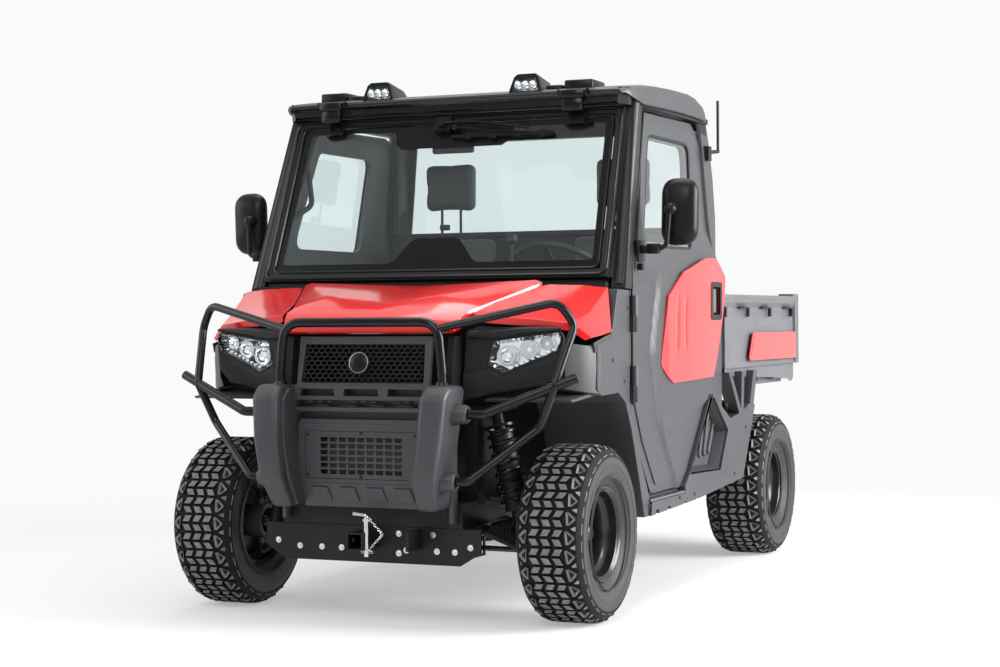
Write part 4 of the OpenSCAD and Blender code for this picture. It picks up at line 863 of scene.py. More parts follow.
def build_bull_bar():
    bm = bmesh.new()
    hoop = rounded_path([(-0.322, -1.48, 0.8535), (-0.322, -1.48, 0.9), (-0.306, -1.48, 1.073),
                         (0.306, -1.48, 1.073), (0.322, -1.48, 0.9), (0.322, -1.48, 0.8535)], 0.075,
                        steps=10)
    tube(bm, hoop, 0.017, steps=20)
    for s in (-1, 1):
        loop = rounded_path([(s * 0.298, -1.48, 1.048), (s * 0.70, -1.335, 1.14), (s * 0.752, -1.308, 1.06),
                             (s * 0.714, -1.41, 0.85), (s * 0.65, -1.39, 0.705), (s * 0.43, -1.515, 0.52),
                             (s * 0.3903, -1.515, 0.52)], 0.06, steps=8)
        tube(bm, loop, 0.015, steps=18)
        brush = rounded_path([(s * 0.4203, -1.478, 0.752), (s * 0.476, -1.478, 0.752),
                              (s * 0.788, -1.381, 0.879)], 0.06, steps=8)
        tube(bm, brush, 0.017, steps=18)
        rod(bm, (s * 0.322, -1.48, 0.8535), (s * 0.322, -1.48, 0.862), 0.026, 0.022, steps=24)
    solid(bm, "bull_bar_tubes", "chassis", satin_tube, ("bull_bar",))


LAMP_TURN = math.radians(10)
LAMP_EDGE_X, LAMP_EDGE_Y = 0.446, -1.318
LAMP_OUTLINE = [(0.446, 1.004), (0.56, 1.023), (0.69, 1.036), (0.702, 1.012), (0.682, 0.968), (0.57, 0.922),
                (0.482, 0.889), (0.428, 0.92)]


def on_fascia(x, depth, z):
    """A point on the turned plane that the lamp sits in."""
    return (LAMP_EDGE_X + (x - LAMP_EDGE_X) * math.cos(LAMP_TURN) - depth * math.sin(LAMP_TURN),
            LAMP_EDGE_Y + (x - LAMP_EDGE_X) * math.sin(LAMP_TURN) + depth * math.cos(LAMP_TURN), z)


def into_fascia(depth):
    """A step straight into the fascia's turned plane."""
    return Vector(on_fascia(LAMP_EDGE_X, depth, 0)) - Vector(on_fascia(LAMP_EDGE_X, 0, 0))


def shrunk(outline, inward):
    """An outline taken in towards its middle."""
    cx = sum(p[0] for p in outline) / len(outline)
    cz = sum(p[1] for p in outline) / len(outline)
    made = []
    for x, z in outline:
        reach = math.hypot(x - cx, z - cz)
        made.append((x + (cx - x) * inward / reach, z + (cz - z) * inward / reach))
    return made


def build_lamps():
    lens, bucket, chrome, leds, bezel = (bmesh.new() for _ in range(5))
    inner = shrunk(LAMP_OUTLINE, 0.004)
    face = lens.faces.new([lens.verts.new(on_fascia(x, -0.012, z)) for x, z in inner])
    bmesh.ops.inset_region(lens, faces=[face], thickness=0.012, depth=0.0)
    bmesh.ops.translate(lens, vec=(0.0012, -0.007, 0), verts=face.verts[:])
    with_thickness(lens, 0.0025)
    skin(bucket, [[on_fascia(x, d, z) for x, z in shrunk(LAMP_OUTLINE, t) + [shrunk(LAMP_OUTLINE, t)[0]]]
                  for t, d in ((0.003, -0.008), (0.008, 0.012), (0.02, 0.034))])
    bucket.faces.new([bucket.verts.new(on_fascia(x, 0.034, z)) for x, z in shrunk(LAMP_OUTLINE, 0.02)])
    with_thickness(bucket, 0.002)
    for x, z, r in ((0.497, 0.951, 0.036), (0.573, 0.973, 0.032), (0.638, 0.995, 0.024)):
        spot = on_fascia(x, 0.028, z)
        aim = (math.sin(LAMP_TURN), -math.cos(LAMP_TURN), 0)
        lathe(chrome, [(0.004, 0.001), (r * 0.45, 0.004), (r * 0.75, 0.011), (r * 0.95, 0.021), (r, 0.027),
                       (r + 0.002, 0.027), (r + 0.002, 0.0), (0.004, -0.002)], spot, aim, steps=36)
        lathe(leds, [(0.0005, 0.016), (0.006, 0.015), (r * 0.3, 0.008), (r * 0.3, 0.002)], spot, aim,
              steps=24)
    for k in range(9):
        share = (k + 0.5) / 9
        x, z = 0.5 + 0.175 * share, 0.905 + 0.072 * share
        a = on_fascia(x - 0.006, -0.002, z - 0.003)
        b = on_fascia(x + 0.006, -0.002, z + 0.004)
        box(leds, (min(a[0], b[0]), a[1], min(a[2], b[2])),
            (max(a[0], b[0]), a[1] + 0.006, max(a[2], b[2])), bevel=0.001)
    for k in range(14):
        share = (k + 0.5) / 14
        x, z = 0.452 + 0.235 * share, 0.9985 + 0.03 * share
        rod(chrome, on_fascia(x, 0.0, z), on_fascia(x, 0.026, z - 0.006), 0.0022, steps=8)
    plate(bezel, [on_fascia(x, -0.0165, z) for x, z in shrunk(LAMP_OUTLINE, 0.0008)],
          into_fascia(0.008),
          holes=([on_fascia(x, -0.0165, z) for x, z in shrunk(LAMP_OUTLINE, 0.0065)],))
    for bm in (lens, bucket, chrome, leds, bezel):
        mirrored(bm)
    solid(lens, "headlamp_lenses", "chassis", lens_clear, recalc=False)
    solid(bucket, "headlamp_buckets", "chassis", mirror_chrome, ("lamps",), recalc=False)
    solid(chrome, "headlamp_reflectors", "chassis", mirror_chrome, recalc=False)
    solid(leds, "headlamp_lights", "chassis", lamp_white, recalc=False)
    solid(bezel, "headlamp_bezels", "chassis", soft_black, bevel=0.0008, recalc=False)
    tail, mount = bmesh.new(), bmesh.new()
    box(tail, (0.415, 1.421, 0.624), (0.556, 1.459, 0.676), bevel=0.006, segments=3)
    box(mount, (0.361, 1.429, 0.631), (0.42, 1.44, 0.649), bevel=0.001)
    box(mount, (0.408, 1.419, 0.62), (0.562, 1.445, 0.68), bevel=0.004)
    mirrored(tail)
    mirrored(mount)
    solid(tail, "tail_lamps", "chassis", tail_red, recalc=False)
    solid(mount, "tail_lamp_mounts", "chassis", soft_black, recalc=False)


def build_fascia():
    bm = bmesh.new()
    outline = [(0.352, 1.03), (0.392, 1.056), (0.64, 1.042), (0.697, 1.03), (0.7035, 1.012), (0.695, 0.905),
               (0.64, 0.85), (0.424, 0.814), (0.337, 0.794)]
    hole = shrunk(LAMP_OUTLINE, -0.0006)
    plate(bm, [on_fascia(x, -0.018, z) for x, z in outline],
          into_fascia(0.03),
          holes=([on_fascia(min(x, 0.7005), -0.018, z) for x, z in hole],))
    # brow over the lamp
    skin(bm, [[on_fascia(x, d, z) for x, d, z in row] for row in (
        [(0.36, -0.02, 1.012), (0.446, -0.02, 1.008), (0.56, -0.02, 1.027), (0.694, -0.02, 1.04)],
        [(0.36, -0.032, 1.022), (0.446, -0.036, 1.016), (0.56, -0.036, 1.034), (0.696, -0.026, 1.045)],
        [(0.36, -0.028, 1.038), (0.446, -0.03, 1.036), (0.56, -0.028, 1.048), (0.698, -0.02, 1.05)],
        [(0.362, -0.012, 1.046), (0.446, -0.012, 1.05), (0.56, -0.012, 1.054), (0.698, -0.012, 1.052)])])
    # pocket under the lamp
    skin(bm, [[on_fascia(x, d, z) for x, d, z in row]
              for row in ([(0.344, -0.018, 0.9), (0.43, -0.018, 0.914), (0.484, -0.018, 0.884),
                           (0.57, -0.018, 0.917), (0.68, -0.018, 0.962)],
                          [(0.344, -0.03, 0.886), (0.43, -0.034, 0.9), (0.49, -0.028, 0.872),
                           (0.575, -0.028, 0.903), (0.684, -0.026, 0.945)],
                          [(0.342, -0.034, 0.85), (0.43, -0.038, 0.85), (0.51, -0.024, 0.855),
                           (0.59, -0.02, 0.87), (0.69, -0.019, 0.905)],
                          [(0.34, -0.02, 0.8), (0.424, -0.02, 0.818), (0.53, -0.02, 0.836),
                           (0.64, -0.019, 0.853), (0.693, -0.018, 0.9)])])
    bmesh.ops.recalc_face_normals(bm, faces=bm.faces)
    plate(bm, [(0.308, -1.43, 0.782), (0.308, -1.33, 0.782), (0.308, -1.33, 1.022), (0.308, -1.402, 1.022),
               (0.308, -1.43, 0.852)], (0.03, 0, 0))
    mirrored(bm)
    solid(bm, "lamp_surrounds", "chassis", soft_black, ("front_fascia",), bevel=0.003,
          recalc=False)
    nose = bmesh.new()
    skin(nose, [[(0.703, -1.274, 0.998), (0.74, -1.238, 0.99), (0.776, -1.19, 0.984), (0.7865, -1.15, 0.984)],
                [(0.7025, -1.278, 0.94), (0.742, -1.244, 0.93), (0.777, -1.19, 0.93), (0.787, -1.15, 0.93)],
                [(0.7, -1.277, 0.872), (0.738, -1.242, 0.862), (0.774, -1.19, 0.852), (0.7865, -1.15, 0.85)],
                [(0.69, -1.272, 0.834), (0.734, -1.24, 0.826), (0.772, -1.19, 0.818), (0.786, -1.15, 0.814)],
                [(0.684, -1.262, 0.826), (0.726, -1.226, 0.818), (0.76, -1.18, 0.81), (0.772, -1.15, 0.806)],
                [(0.66, -1.236, 0.83), (0.7, -1.2, 0.822), (0.73, -1.16, 0.815), (0.74, -1.13, 0.81)]])
    with_thickness(nose, 0.004)
    plate(nose, [(0.776, y, z) for y, z in ((-1.2, 0.995), (-1.1, 1.014), (-1.03, 1.026), (-0.99, 1.1),
                                            (-0.965, 1.178), (-0.94, 1.182), (-0.94, 0.96), (-1.19, 0.96))],
          (0.006, 0, 0))
    mirrored(nose)
    solid(nose, "fender_noses", "chassis", charcoal, bevel=0.002, recalc=False)


def build_skid_and_hitch():
    bm = bmesh.new()
    plate(bm, [(-0.43, -1.4, 0.262), (-0.35, -1.4, 0.213), (0.35, -1.4, 0.213), (0.43, -1.4, 0.262),
               (0.43, -1.4, 0.344), (-0.43, -1.4, 0.344)], (0, 0.008, 0))
    box(bm, (-0.3, -1.396, 0.213), (0.3, -1.066, 0.219), bevel=0.001)
    for s in (-1, 1):
        box(bm, (min(s * 0.294, s * 0.3), -1.396, 0.213), (max(s * 0.294, s * 0.3), -1.22, 0.345))
        box(bm, (min(s * 0.294, s * 0.3), -1.081, 0.213), (max(s * 0.294, s * 0.3), -1.066, 0.38))
    for x in (-0.34, -0.22, -0.1, 0.1, 0.28, 0.37):
        for y in (-1.3, -1.15):
            if abs(x) < 0.29:
                rod(bm, (x, y, 0.2125), (x, y, 0.2095), 0.009, 0.007, steps=12)
    solid(bm, "skid_plate_shape", "chassis", frame_black, ("skid_plate",), bevel=0.003)
    bolts = bmesh.new()
    for x, z in ((-0.38, 0.28), (-0.29, 0.262), (-0.2, 0.262), (-0.12, 0.262), (0.14, 0.262), (0.26, 0.262),
                 (0.33, 0.262), (0.39, 0.28), (0.11, 0.32), (0.11, 0.25), (0.245, 0.32)):
        rod(bolts, (x, -1.4, z), (x, -1.4065, z), 0.0085, 0.0065, steps=6)
        rod(bolts, (x, -1.4, z), (x, -1.4025, z), 0.0115, steps=16)
    solid(bolts, "skid_bolts", "chassis", bright_steel, bevel=0.0006)
    pin = bmesh.new()
    x, y, top, foot = 0.036, -1.508, 0.384, 0.247
    rod(pin, (x, y, foot), (x, y, top), 0.0092, steps=24)
    rod(pin, (x, y, foot + 0.004), (x, y, foot), 0.0092, 0.006, steps=24)
    rod(pin, (x, y, top - 0.012), (x, y, top - 0.004), 0.014, steps=24)
    tube(pin, rounded_path([(x, y, top - 0.004), (x, y, top + 0.008), (x - 0.05, y - 0.004, top + 0.014)],
                           0.008), 0.0062, steps=12)
    tube(pin, rounded_path([(x - 0.019, y - 0.004, foot + 0.014), (x + 0.026, y - 0.004, foot + 0.014),
                            (x + 0.03, y - 0.01, foot + 0.02), (x + 0.014, y - 0.013, foot + 0.024),
                            (x - 0.017, y - 0.012, foot + 0.02)], 0.004), 0.0017, steps=8)
    solid(pin, "receiver_pin", "chassis", bright_steel, bevel=0)
    softened("receivers", 0.0015)
    chain = bmesh.new()
    route = [Vector((x + 0.005 + 0.058 * math.sin(math.pi * t), y - 0.004,
                     top + 0.008 - (top - foot - 0.008) * t - 0.012 * math.sin(math.tau * t)))
             for t in [k / 20 for k in range(21)]]
    for k, (a, b) in enumerate(zip(route, route[1:])):
        middle, along = (a + b) / 2, (b - a).normalized()
        wide = along.cross(Vector((0, 1, 0))).normalized() if k % 2 else Vector((0, 1, 0))
        ring = [middle + along * (0.0066 * math.cos(q)) + wide * (0.0038 * math.sin(q)) for q in
                [math.tau * i / 8 for i in range(9)]]
        tube(chain, ring, 0.0012, steps=5, caps=False)
    solid(chain, "receiver_chain", "chassis", bright_steel)


build_hood()
build_hood_corners()
build_grille()
build_bumper()
build_bull_bar()
build_lamps()
build_fascia()
build_skid_and_hitch()


# ---------------------------------------------------------------- doors

WAIST = 1.33
HINGE_FEET = (0.77, 1.03)
LEAN = math.radians(4.6)


def rounded_outline(points, radius, steps=6):
    """A closed outline of (a, b) pairs with its corners rounded."""
    made = []
    count = len(points)
    for k in range(count):
        before, here, after = (Vector((*points[j % count], 0)) for j in (k - 1, k, k + 1))
        back, on = before - here, after - here
        reach = min(radius * math.tan((math.pi - back.angle(on)) / 2), back.length * 0.45, on.length * 0.45)
        start, end = here + back.normalized() * reach, here + on.normalized() * reach
        for i in range(steps + 1):
            t = i / steps
            p = start * (1 - t) ** 2 + here * 2 * t * (1 - t) + end * t ** 2
            made.append((p.x, p.y))
    return made


def smooth(value, low, high):
    t = max(0, min(1, (value - low) / (high - low)))
    return t * t * (3 - 2 * t)


def pressed(bm, outline, holes, step, height, depth):
    """A pressed panel: a flat outline of (y, z) pairs cut into cells, raised along X by height(y, z)."""
    start = set(bm.verts)
    loops = []
    for points in (outline, *holes):
        made = [bm.verts.new((0, *p)) for p in points]
        loops += [bm.edges.new((made[k], made[k - 1])) for k in range(len(made))]
    bmesh.ops.triangle_fill(bm, edges=loops, use_beauty=True)
    ys, zs = [p[0] for p in outline], [p[1] for p in outline]
    for axis, low, high in ((1, min(ys), max(ys)), (2, min(zs), max(zs))):
        for k in range(1, int((high - low) / step)):
            spot, way = [0, 0, 0], [0, 0, 0]
            spot[axis], way[axis] = low + k * step, 1
            fresh = [v for v in bm.verts if v not in start]
            part = (fresh + list({e for v in fresh for e in v.link_edges})
                    + list({f for v in fresh for f in v.link_faces}))
            bmesh.ops.bisect_plane(bm, geom=part, plane_co=spot, plane_no=way, dist=1e-5)
    fresh = [v for v in bm.verts if v not in start]
    faces = list({f for v in fresh for f in v.link_faces})
    out = bmesh.ops.extrude_face_region(bm, geom=faces)["geom"]
    back = {g for g in out if isinstance(g, bmesh.types.BMVert)}
    for v in back:
        v.co.x = -depth + height(v.co.y, v.co.z)
    for v in fresh:
        if v not in back:
            v.co.x = height(v.co.y, v.co.z)


def leaning(z):
    return -math.tan(LEAN) * max(0, z - WAIST)


def door_relief(y, z):
    """How far the skin stands out of the side plane."""
    crease = -0.568 + 0.3 * max(0, 0.959 - z) + 0.5 * max(0, 0.665 - z) + 0.34 * max(0, z - 0.959)
    low = 1 - smooth(z, 1.16, 1.3)
    dip = -0.019 * (1 - smooth(y, crease - 0.034, crease)) * low
    fold = 0.665 + (y + 0.535) * 0.133
    dip -= 0.012 * (1 - smooth(z, fold - 0.03, fold)) * smooth(y, crease - 0.01, crease + 0.03)
    shoulder = -0.014 * smooth(z, 1.2, 1.345) * smooth(y, -0.75, -0.5)
    rear = -0.02 * smooth(y, 0.06, 0.24) * smooth(z, 1.34, 1.46)
    head = -0.012 * smooth(z, 1.8, 1.89)
    return leaning(z) + dip + shoulder + rear + head


def door_outline():
    return [(-0.575, 0.412), (-0.236, 0.412), (-0.157, 0.47), (0.093, 0.738), (0.151, 0.828),
            (0.338, 1.253), (0.228, 1.38), (0.216, 1.5), (0.21, 1.8), (0.182, 1.862), (0.12, 1.882),
            (-0.522, 1.874), (-0.77, 1.32), (-0.798, 1.18), (-0.8, 0.757), (-0.716, 0.59)]


def handed(bm, side):
    if side < 0:
        bmesh.ops.scale(bm, vec=(-1, 1, 1), verts=bm.verts)
        bmesh.ops.reverse_faces(bm, faces=bm.faces[:])


def build_door(side, name):
    bm = bmesh.new()
    window = rounded_outline([(-0.672, 1.353), (-0.047, 1.353), (0.022, 1.792), (-0.488, 1.792)], 0.055)
    latch = rounded_outline([(0.14, 1.09), (0.236, 1.09), (0.236, 1.21), (0.14, 1.21)], 0.016, 3)
    pressed(bm, rounded_outline(door_outline(), 0.05), (window, latch), 0.021,
            lambda y, z: 0.79 + door_relief(y, z), 0.014)
    # inner trim behind the skin
    pressed(bm, rounded_outline([(-0.53, 0.44), (-0.24, 0.44), (0.07, 0.74), (0.13, 0.84), (0.3, 1.25),
                                 (0.2, 1.38), (0.19, 1.83), (0.11, 1.86), (-0.505, 1.85), (-0.745, 1.32),
                                 (-0.77, 1.18), (-0.77, 0.78), (-0.68, 0.62)], 0.04),
            (rounded_outline([(-0.645, 1.372), (-0.062, 1.372), (0.0, 1.775), (-0.478, 1.775)], 0.05),),
            0.12, lambda y, z: 0.776 + leaning(z) - 0.02 * smooth(z, 1.3, 1.4), 0.02)
    for z in HINGE_FEET:
        rod(bm, (0.796, -0.815, z + 0.0603), (0.796, -0.815, z + 0.134), 0.0135, steps=24)
        box(bm, (0.776, -0.815, z + 0.0603), (0.797, -0.78, z + 0.134), bevel=0.002)
    handed(bm, side)
    solid(bm, name + "_skin", name, charcoal, (name,), bevel=0.003, recalc=False,
          sharp=math.radians(40))

    seal = bmesh.new()
    ring = [Vector((0.7905 + door_relief(y, z), y, z)) for y, z in window]
    inner = rounded_outline([(-0.660, 1.364), (-0.056, 1.364), (0.010, 1.781), (-0.482, 1.781)], 0.046)
    ring_in = [Vector((0.783 + leaning(z) - 0.008, y, z)) for y, z in inner]
    skin(seal, [ring + ring[:1], ring_in + ring_in[:1]])
    with_thickness(seal, 0.004)
    tube(seal, [(0.781, -0.8015, 0.76), (0.781, -0.8, 1.18), (0.776, -0.772, 1.318),
                (0.734, -0.525, 1.872)], 0.0055, steps=8)
    handed(seal, side)
    solid(seal, name + "_seals", name, soft_black, recalc=False)

    red = bmesh.new()

    def panel_relief(y, z):
        nose = smooth(y, -0.505, -0.42) * 0.006
        edge_low = smooth(z, 0.828, 0.852) * 0.002
        swell = 0.004 * smooth(y, -0.4, -0.1) * (1 - smooth(y, 0.0, 0.3))
        flute = 0
        for y0 in (-0.33, -0.235):
            across = (y - y0 - 0.05 * (z - 1.0)) / 0.034
            if 0 < across < 1:
                length = smooth(z, 0.93, 0.985) * (1 - smooth(z, 1.13, 1.2))
                flute -= 0.0055 * length * (1 - across) * smooth(across, 0, 0.12)
        return 0.7915 + nose + edge_low + swell + flute

    shape = [(-0.427, 1.164), (-0.24, 1.262), (0.035, 1.322), (0.186, 1.326), (0.255, 1.294), (0.326, 1.25),
             (0.31, 1.15), (0.27, 1.055), (0.205, 0.925), (0.143, 0.836), (-0.365, 0.826), (-0.44, 0.856),
             (-0.505, 0.901)]
    pocket = rounded_outline([(0.132, 1.082), (0.244, 1.082), (0.244, 1.218), (0.132, 1.218)], 0.018, 3)
    pressed(red, rounded_outline(shape, 0.02, 4), (pocket,), 0.012, panel_relief, 0.008)
    handed(red, side)
    solid(red, name + "_red_panel", name, red_paint, (name + "_panel",), bevel=0.0022,
          segments=3, recalc=False, sharp=math.radians(40))

    pull = bmesh.new()
    rim = rounded_outline([(0.108, 1.07), (0.256, 1.07), (0.262, 1.228), (0.112, 1.228)], 0.02, 4)
    well = rounded_outline([(0.134, 1.092), (0.234, 1.092), (0.236, 1.207), (0.136, 1.207)], 0.012, 3)
    plate(pull, [(0.7985, y, z) for y, z in rim], (0.0065, 0, 0), holes=([(0.7985, y, z) for y, z in well],))
    plate(pull, [(0.7725, y, z) for y, z in rounded_outline(
        [(0.142, 1.092), (0.234, 1.092), (0.234, 1.208), (0.142, 1.208)], 0.014, 3)], (0.0045, 0, 0))
    handed(pull, side)
    solid(pull, name + "_pull", name, soft_black, bevel=0.0015, recalc=False)
    lever = bmesh.new()
    box(lever, (0.786, 0.15, 1.1), (0.7985, 0.196, 1.2), bevel=0.004, segments=3)
    handed(lever, side)
    solid(lever, name + "_lever", name, trim_grey, recalc=True)


def build_mirror(side, name):
    bm = bmesh.new()
    middle = Vector((0.924, -0.668, 1.475))
    rings = []
    for depth, grow in ((0.0, 1.0), (-0.014, 1.03), (-0.03, 0.97), (-0.043, 0.8), (-0.05, 0.5),
                        (-0.053, 0.06)):
        pts = rounded_outline([(-0.072 * grow, -0.122 * grow), (0.066 * grow, -0.118 * grow),
                               (0.072 * grow, 0.122 * grow), (-0.066 * grow, 0.126 * grow)], 0.058 * grow,
                              7)
        rings.append([middle + Vector((a, 0.02 + depth, b)) for a, b in pts])
    before = None
    for ring in rings:
        line = [bm.verts.new(p) for p in ring]
        edges = [bm.edges.new((line[k], line[k - 1])) for k in range(len(line))]
        if before:
            bmesh.ops.bridge_loops(bm, edges=before + edges)
        else:
            bmesh.ops.edgeloop_fill(bm, edges=edges)
        before = edges
    bmesh.ops.edgeloop_fill(bm, edges=before)
    # ball joint, arm and clamp
    ball(bm, (0.903, -0.712, 1.486), 0.024, steps=24)
    lathe(bm, [(0.014, 0), (0.027, 0.002), (0.029, 0.012), (0.022, 0.02), (0.014, 0.02)],
          (0.905, -0.704, 1.486), (0, 1, 0), steps=28)
    tube(bm, rounded_path([(0.812, -0.735, 1.332), (0.87, -0.733, 1.34), (0.892, -0.73, 1.35),
                           (0.902, -0.722, 1.484)], 0.02), 0.0095, steps=14)
    box(bm, (0.822, -0.753, 1.32), (0.868, -0.718, 1.358), bevel=0.004)
    rod(bm, (0.845, -0.76, 1.339), (0.845, -0.711, 1.339), 0.009, steps=6)
    box(bm, (0.782, -0.772, 1.29), (0.8, -0.7, 1.372), bevel=0.005)
    box(bm, (0.796, -0.756, 1.322), (0.826, -0.716, 1.352), bevel=0.003)
    rod(bm, (0.79, -0.752, 1.272), (0.809, -0.752, 1.272), 0.013, steps=18)
    handed(bm, side)
    solid(bm, name + "_mirror", name, deep_black, bevel=0, recalc=True,
          sharp=math.radians(44))
    face = bmesh.new()
    pts = rounded_outline([(-0.066, -0.114), (0.06, -0.11), (0.066, 0.114), (-0.06, 0.118)], 0.052, 7)
    plate(face, [middle + Vector((a, 0.0203, b)) for a, b in pts], (0, 0.0016, 0))
    handed(face, side)
    solid(face, name + "_mirror_glass", name, mirror_chrome, bevel=0.0006, recalc=True)


for side, name in ((1, "door_left"), (-1, "door_right")):
    build_door(side, name)
    build_mirror(side, name)
    screws = bmesh.new()
    for z in HINGE_FEET:
        for dz in (0.078, 0.117):
            rod(screws, (0.797, -0.79, z + dz), (0.8, -0.79, z + dz), 0.0055, 0.004, steps=12)
    handed(screws, side)
    solid(screws, name + "_hinge_screws", name, satin_tube)


# ---------------------------------------------------------------- cab

SCREEN_LOW = (0.725, -0.910, 1.235)
SCREEN_HIGH = (0.704, -0.652, 1.887)
SCREEN_H = math.hypot(SCREEN_HIGH[1] - SCREEN_LOW[1], SCREEN_HIGH[2] - SCREEN_LOW[2])
UP_SCREEN = Vector((0, SCREEN_HIGH[1] - SCREEN_LOW[1], SCREEN_HIGH[2] - SCREEN_LOW[2])).normalized()
OFF_SCREEN = Vector((0, -UP_SCREEN.z, UP_SCREEN.y))


def on_screen(x, up, off=0.0):
    """A point on the leaning windscreen: across, up its slope, and off its face."""
    return Vector((x, SCREEN_LOW[1], SCREEN_LOW[2])) + UP_SCREEN * up + OFF_SCREEN * off


def build_windscreen():
    top = SCREEN_H
    outer = [(-0.684, 0.042), (0.684, 0.042), (0.664, top - 0.042), (-0.664, top - 0.042)]
    sill, head = 0.07, top - 0.062
    low = [(0.655, sill), (0.19, sill), (0.165, sill + 0.012), (0.105, sill + 0.092), (0.075, sill + 0.104),
           (-0.075, sill + 0.104), (-0.105, sill + 0.092), (-0.165, sill + 0.012), (-0.19, sill),
           (-0.655, sill)]
    high = [(-0.635, head), (-0.572, head), (-0.552, head - 0.022), (-0.53, head - 0.03),
            (-0.504, head - 0.03), (-0.482, head - 0.022), (-0.462, head), (-0.255, head),
            (-0.24, head - 0.062), (-0.215, head - 0.08), (0.215, head - 0.08), (0.24, head - 0.062),
            (0.255, head), (0.462, head), (0.482, head - 0.022), (0.504, head - 0.03), (0.53, head - 0.03),
            (0.552, head - 0.022), (0.572, head), (0.635, head)]
    frit = bmesh.new()
    hole = rounded_outline(low + high, 0.016, 3)
    plate(frit, [on_screen(x, v, -0.0069) for x, v in outer], OFF_SCREEN * 0.0008,
          holes=([on_screen(x, v, -0.0069) for x, v in hole],))
    solid(frit, "windscreen_border", "chassis", gloss_black)
    bead = bmesh.new()
    ring = rounded_outline([(-0.6865, 0.036), (0.6865, 0.036), (0.6665, top - 0.036),
                            (-0.6665, top - 0.036)], 0.03, 5)
    ring.append(ring[0])
    tube(bead, [on_screen(x, v, -0.001) for x, v in ring], 0.0055, steps=8, caps=False)
    ring = rounded_outline([(-0.716, 0.01), (0.716, 0.01), (0.695, top - 0.01), (-0.695, top - 0.01)],
                           0.035, 5)
    ring.append(ring[0])
    tube(bead, [on_screen(x, v, 0.001) for x, v in ring], 0.007, steps=8, caps=False)
    solid(bead, "windscreen_seals", "chassis", satin_tube)
    hinges = bmesh.new()
    for s in (-1, 1):
        x = s * 0.517
        box(hinges, (x - 0.047, -0.735, 1.916), (x + 0.047, -0.7, 1.948), bevel=0.004)
        box(hinges, (x - 0.04, -0.728, 1.868), (x + 0.04, -0.694, 1.918), bevel=0.004)
        plate(hinges, [on_screen(x - 0.036, top - 0.075, 0.004), on_screen(x + 0.036, top - 0.075, 0.004),
                       on_screen(x + 0.042, top - 0.02, 0.004), on_screen(x - 0.042, top - 0.02, 0.004)],
              OFF_SCREEN * 0.014)
        for dx in (-0.02, 0.02):
            rod(hinges, on_screen(x + dx, top - 0.052, 0.015), on_screen(x + dx, top - 0.052, 0.026),
                0.0095, steps=6)
        for dx in (-0.056, 0.06):
            rod(hinges, (x + dx, -0.7, 1.945), (x + dx, -0.7195, 1.945), 0.007, steps=10)
    solid(hinges, "windscreen_hinges", "chassis", gloss_black, bevel=0.0008)


def build_wiper():
    top = SCREEN_H
    bm = bmesh.new()
    plate(bm, [on_screen(-0.07, top - 0.086, 0.001), on_screen(0.0, top - 0.086, 0.001),
               on_screen(0.0, top - 0.026, 0.001), on_screen(-0.07, top - 0.026, 0.001)], OFF_SCREEN * 0.03)
    rod(bm, on_screen(-0.035, top - 0.06, 0.0), on_screen(-0.035, top - 0.06, 0.052), 0.019, 0.015, steps=22)
    rod(bm, on_screen(0.02, top - 0.075, 0.0), on_screen(0.02, top - 0.075, 0.036), 0.013, steps=18)
    tube(bm, [on_screen(-0.035, top - 0.06, 0.044), on_screen(0.02, top - 0.05, 0.03),
              on_screen(0.12, top - 0.05, 0.024), on_screen(0.33, top - 0.085, 0.018)], 0.0055, steps=10)
    tube(bm, [on_screen(0.02, top - 0.075, 0.032), on_screen(0.2, top - 0.092, 0.022),
              on_screen(0.33, top - 0.1, 0.018)], 0.003, steps=8)
    plate(bm, [on_screen(0.005, top - 0.112, -0.005), on_screen(0.43, top - 0.112, -0.005),
               on_screen(0.43, top - 0.098, -0.005), on_screen(0.005, top - 0.098, -0.005)],
          OFF_SCREEN * 0.02)
    for k in range(4):
        x = 0.06 + k * 0.105
        plate(bm, [on_screen(x, top - 0.12, 0.004), on_screen(x + 0.03, top - 0.12, 0.004),
                   on_screen(x + 0.03, top - 0.094, 0.004), on_screen(x, top - 0.094, 0.004)],
              OFF_SCREEN * 0.012)
    solid(bm, "wiper_arm", "chassis", gloss_black, ("wiper",), bevel=0.001)


ROOF_ROWS = [(-0.706, 1.944, 1.93, 0.71), (-0.69, 1.952, 1.928, 0.726), (-0.66, 1.957, 1.917, 0.735),
             (-0.6, 1.965, 1.905, 0.74), (-0.54, 1.973, 1.9, 0.741), (-0.42, 1.987, 1.903, 0.741),
             (-0.25, 1.998, 1.907, 0.741), (-0.08, 2.005, 1.909, 0.741), (0.05, 2.007, 1.909, 0.741),
             (0.14, 1.999, 1.907, 0.741), (0.205, 1.984, 1.904, 0.739), (0.25, 1.964, 1.9, 0.734),
             (0.29, 1.936, 1.895, 0.724), (0.315, 1.91, 1.889, 0.708), (0.322, 1.892, 1.886, 0.695)]


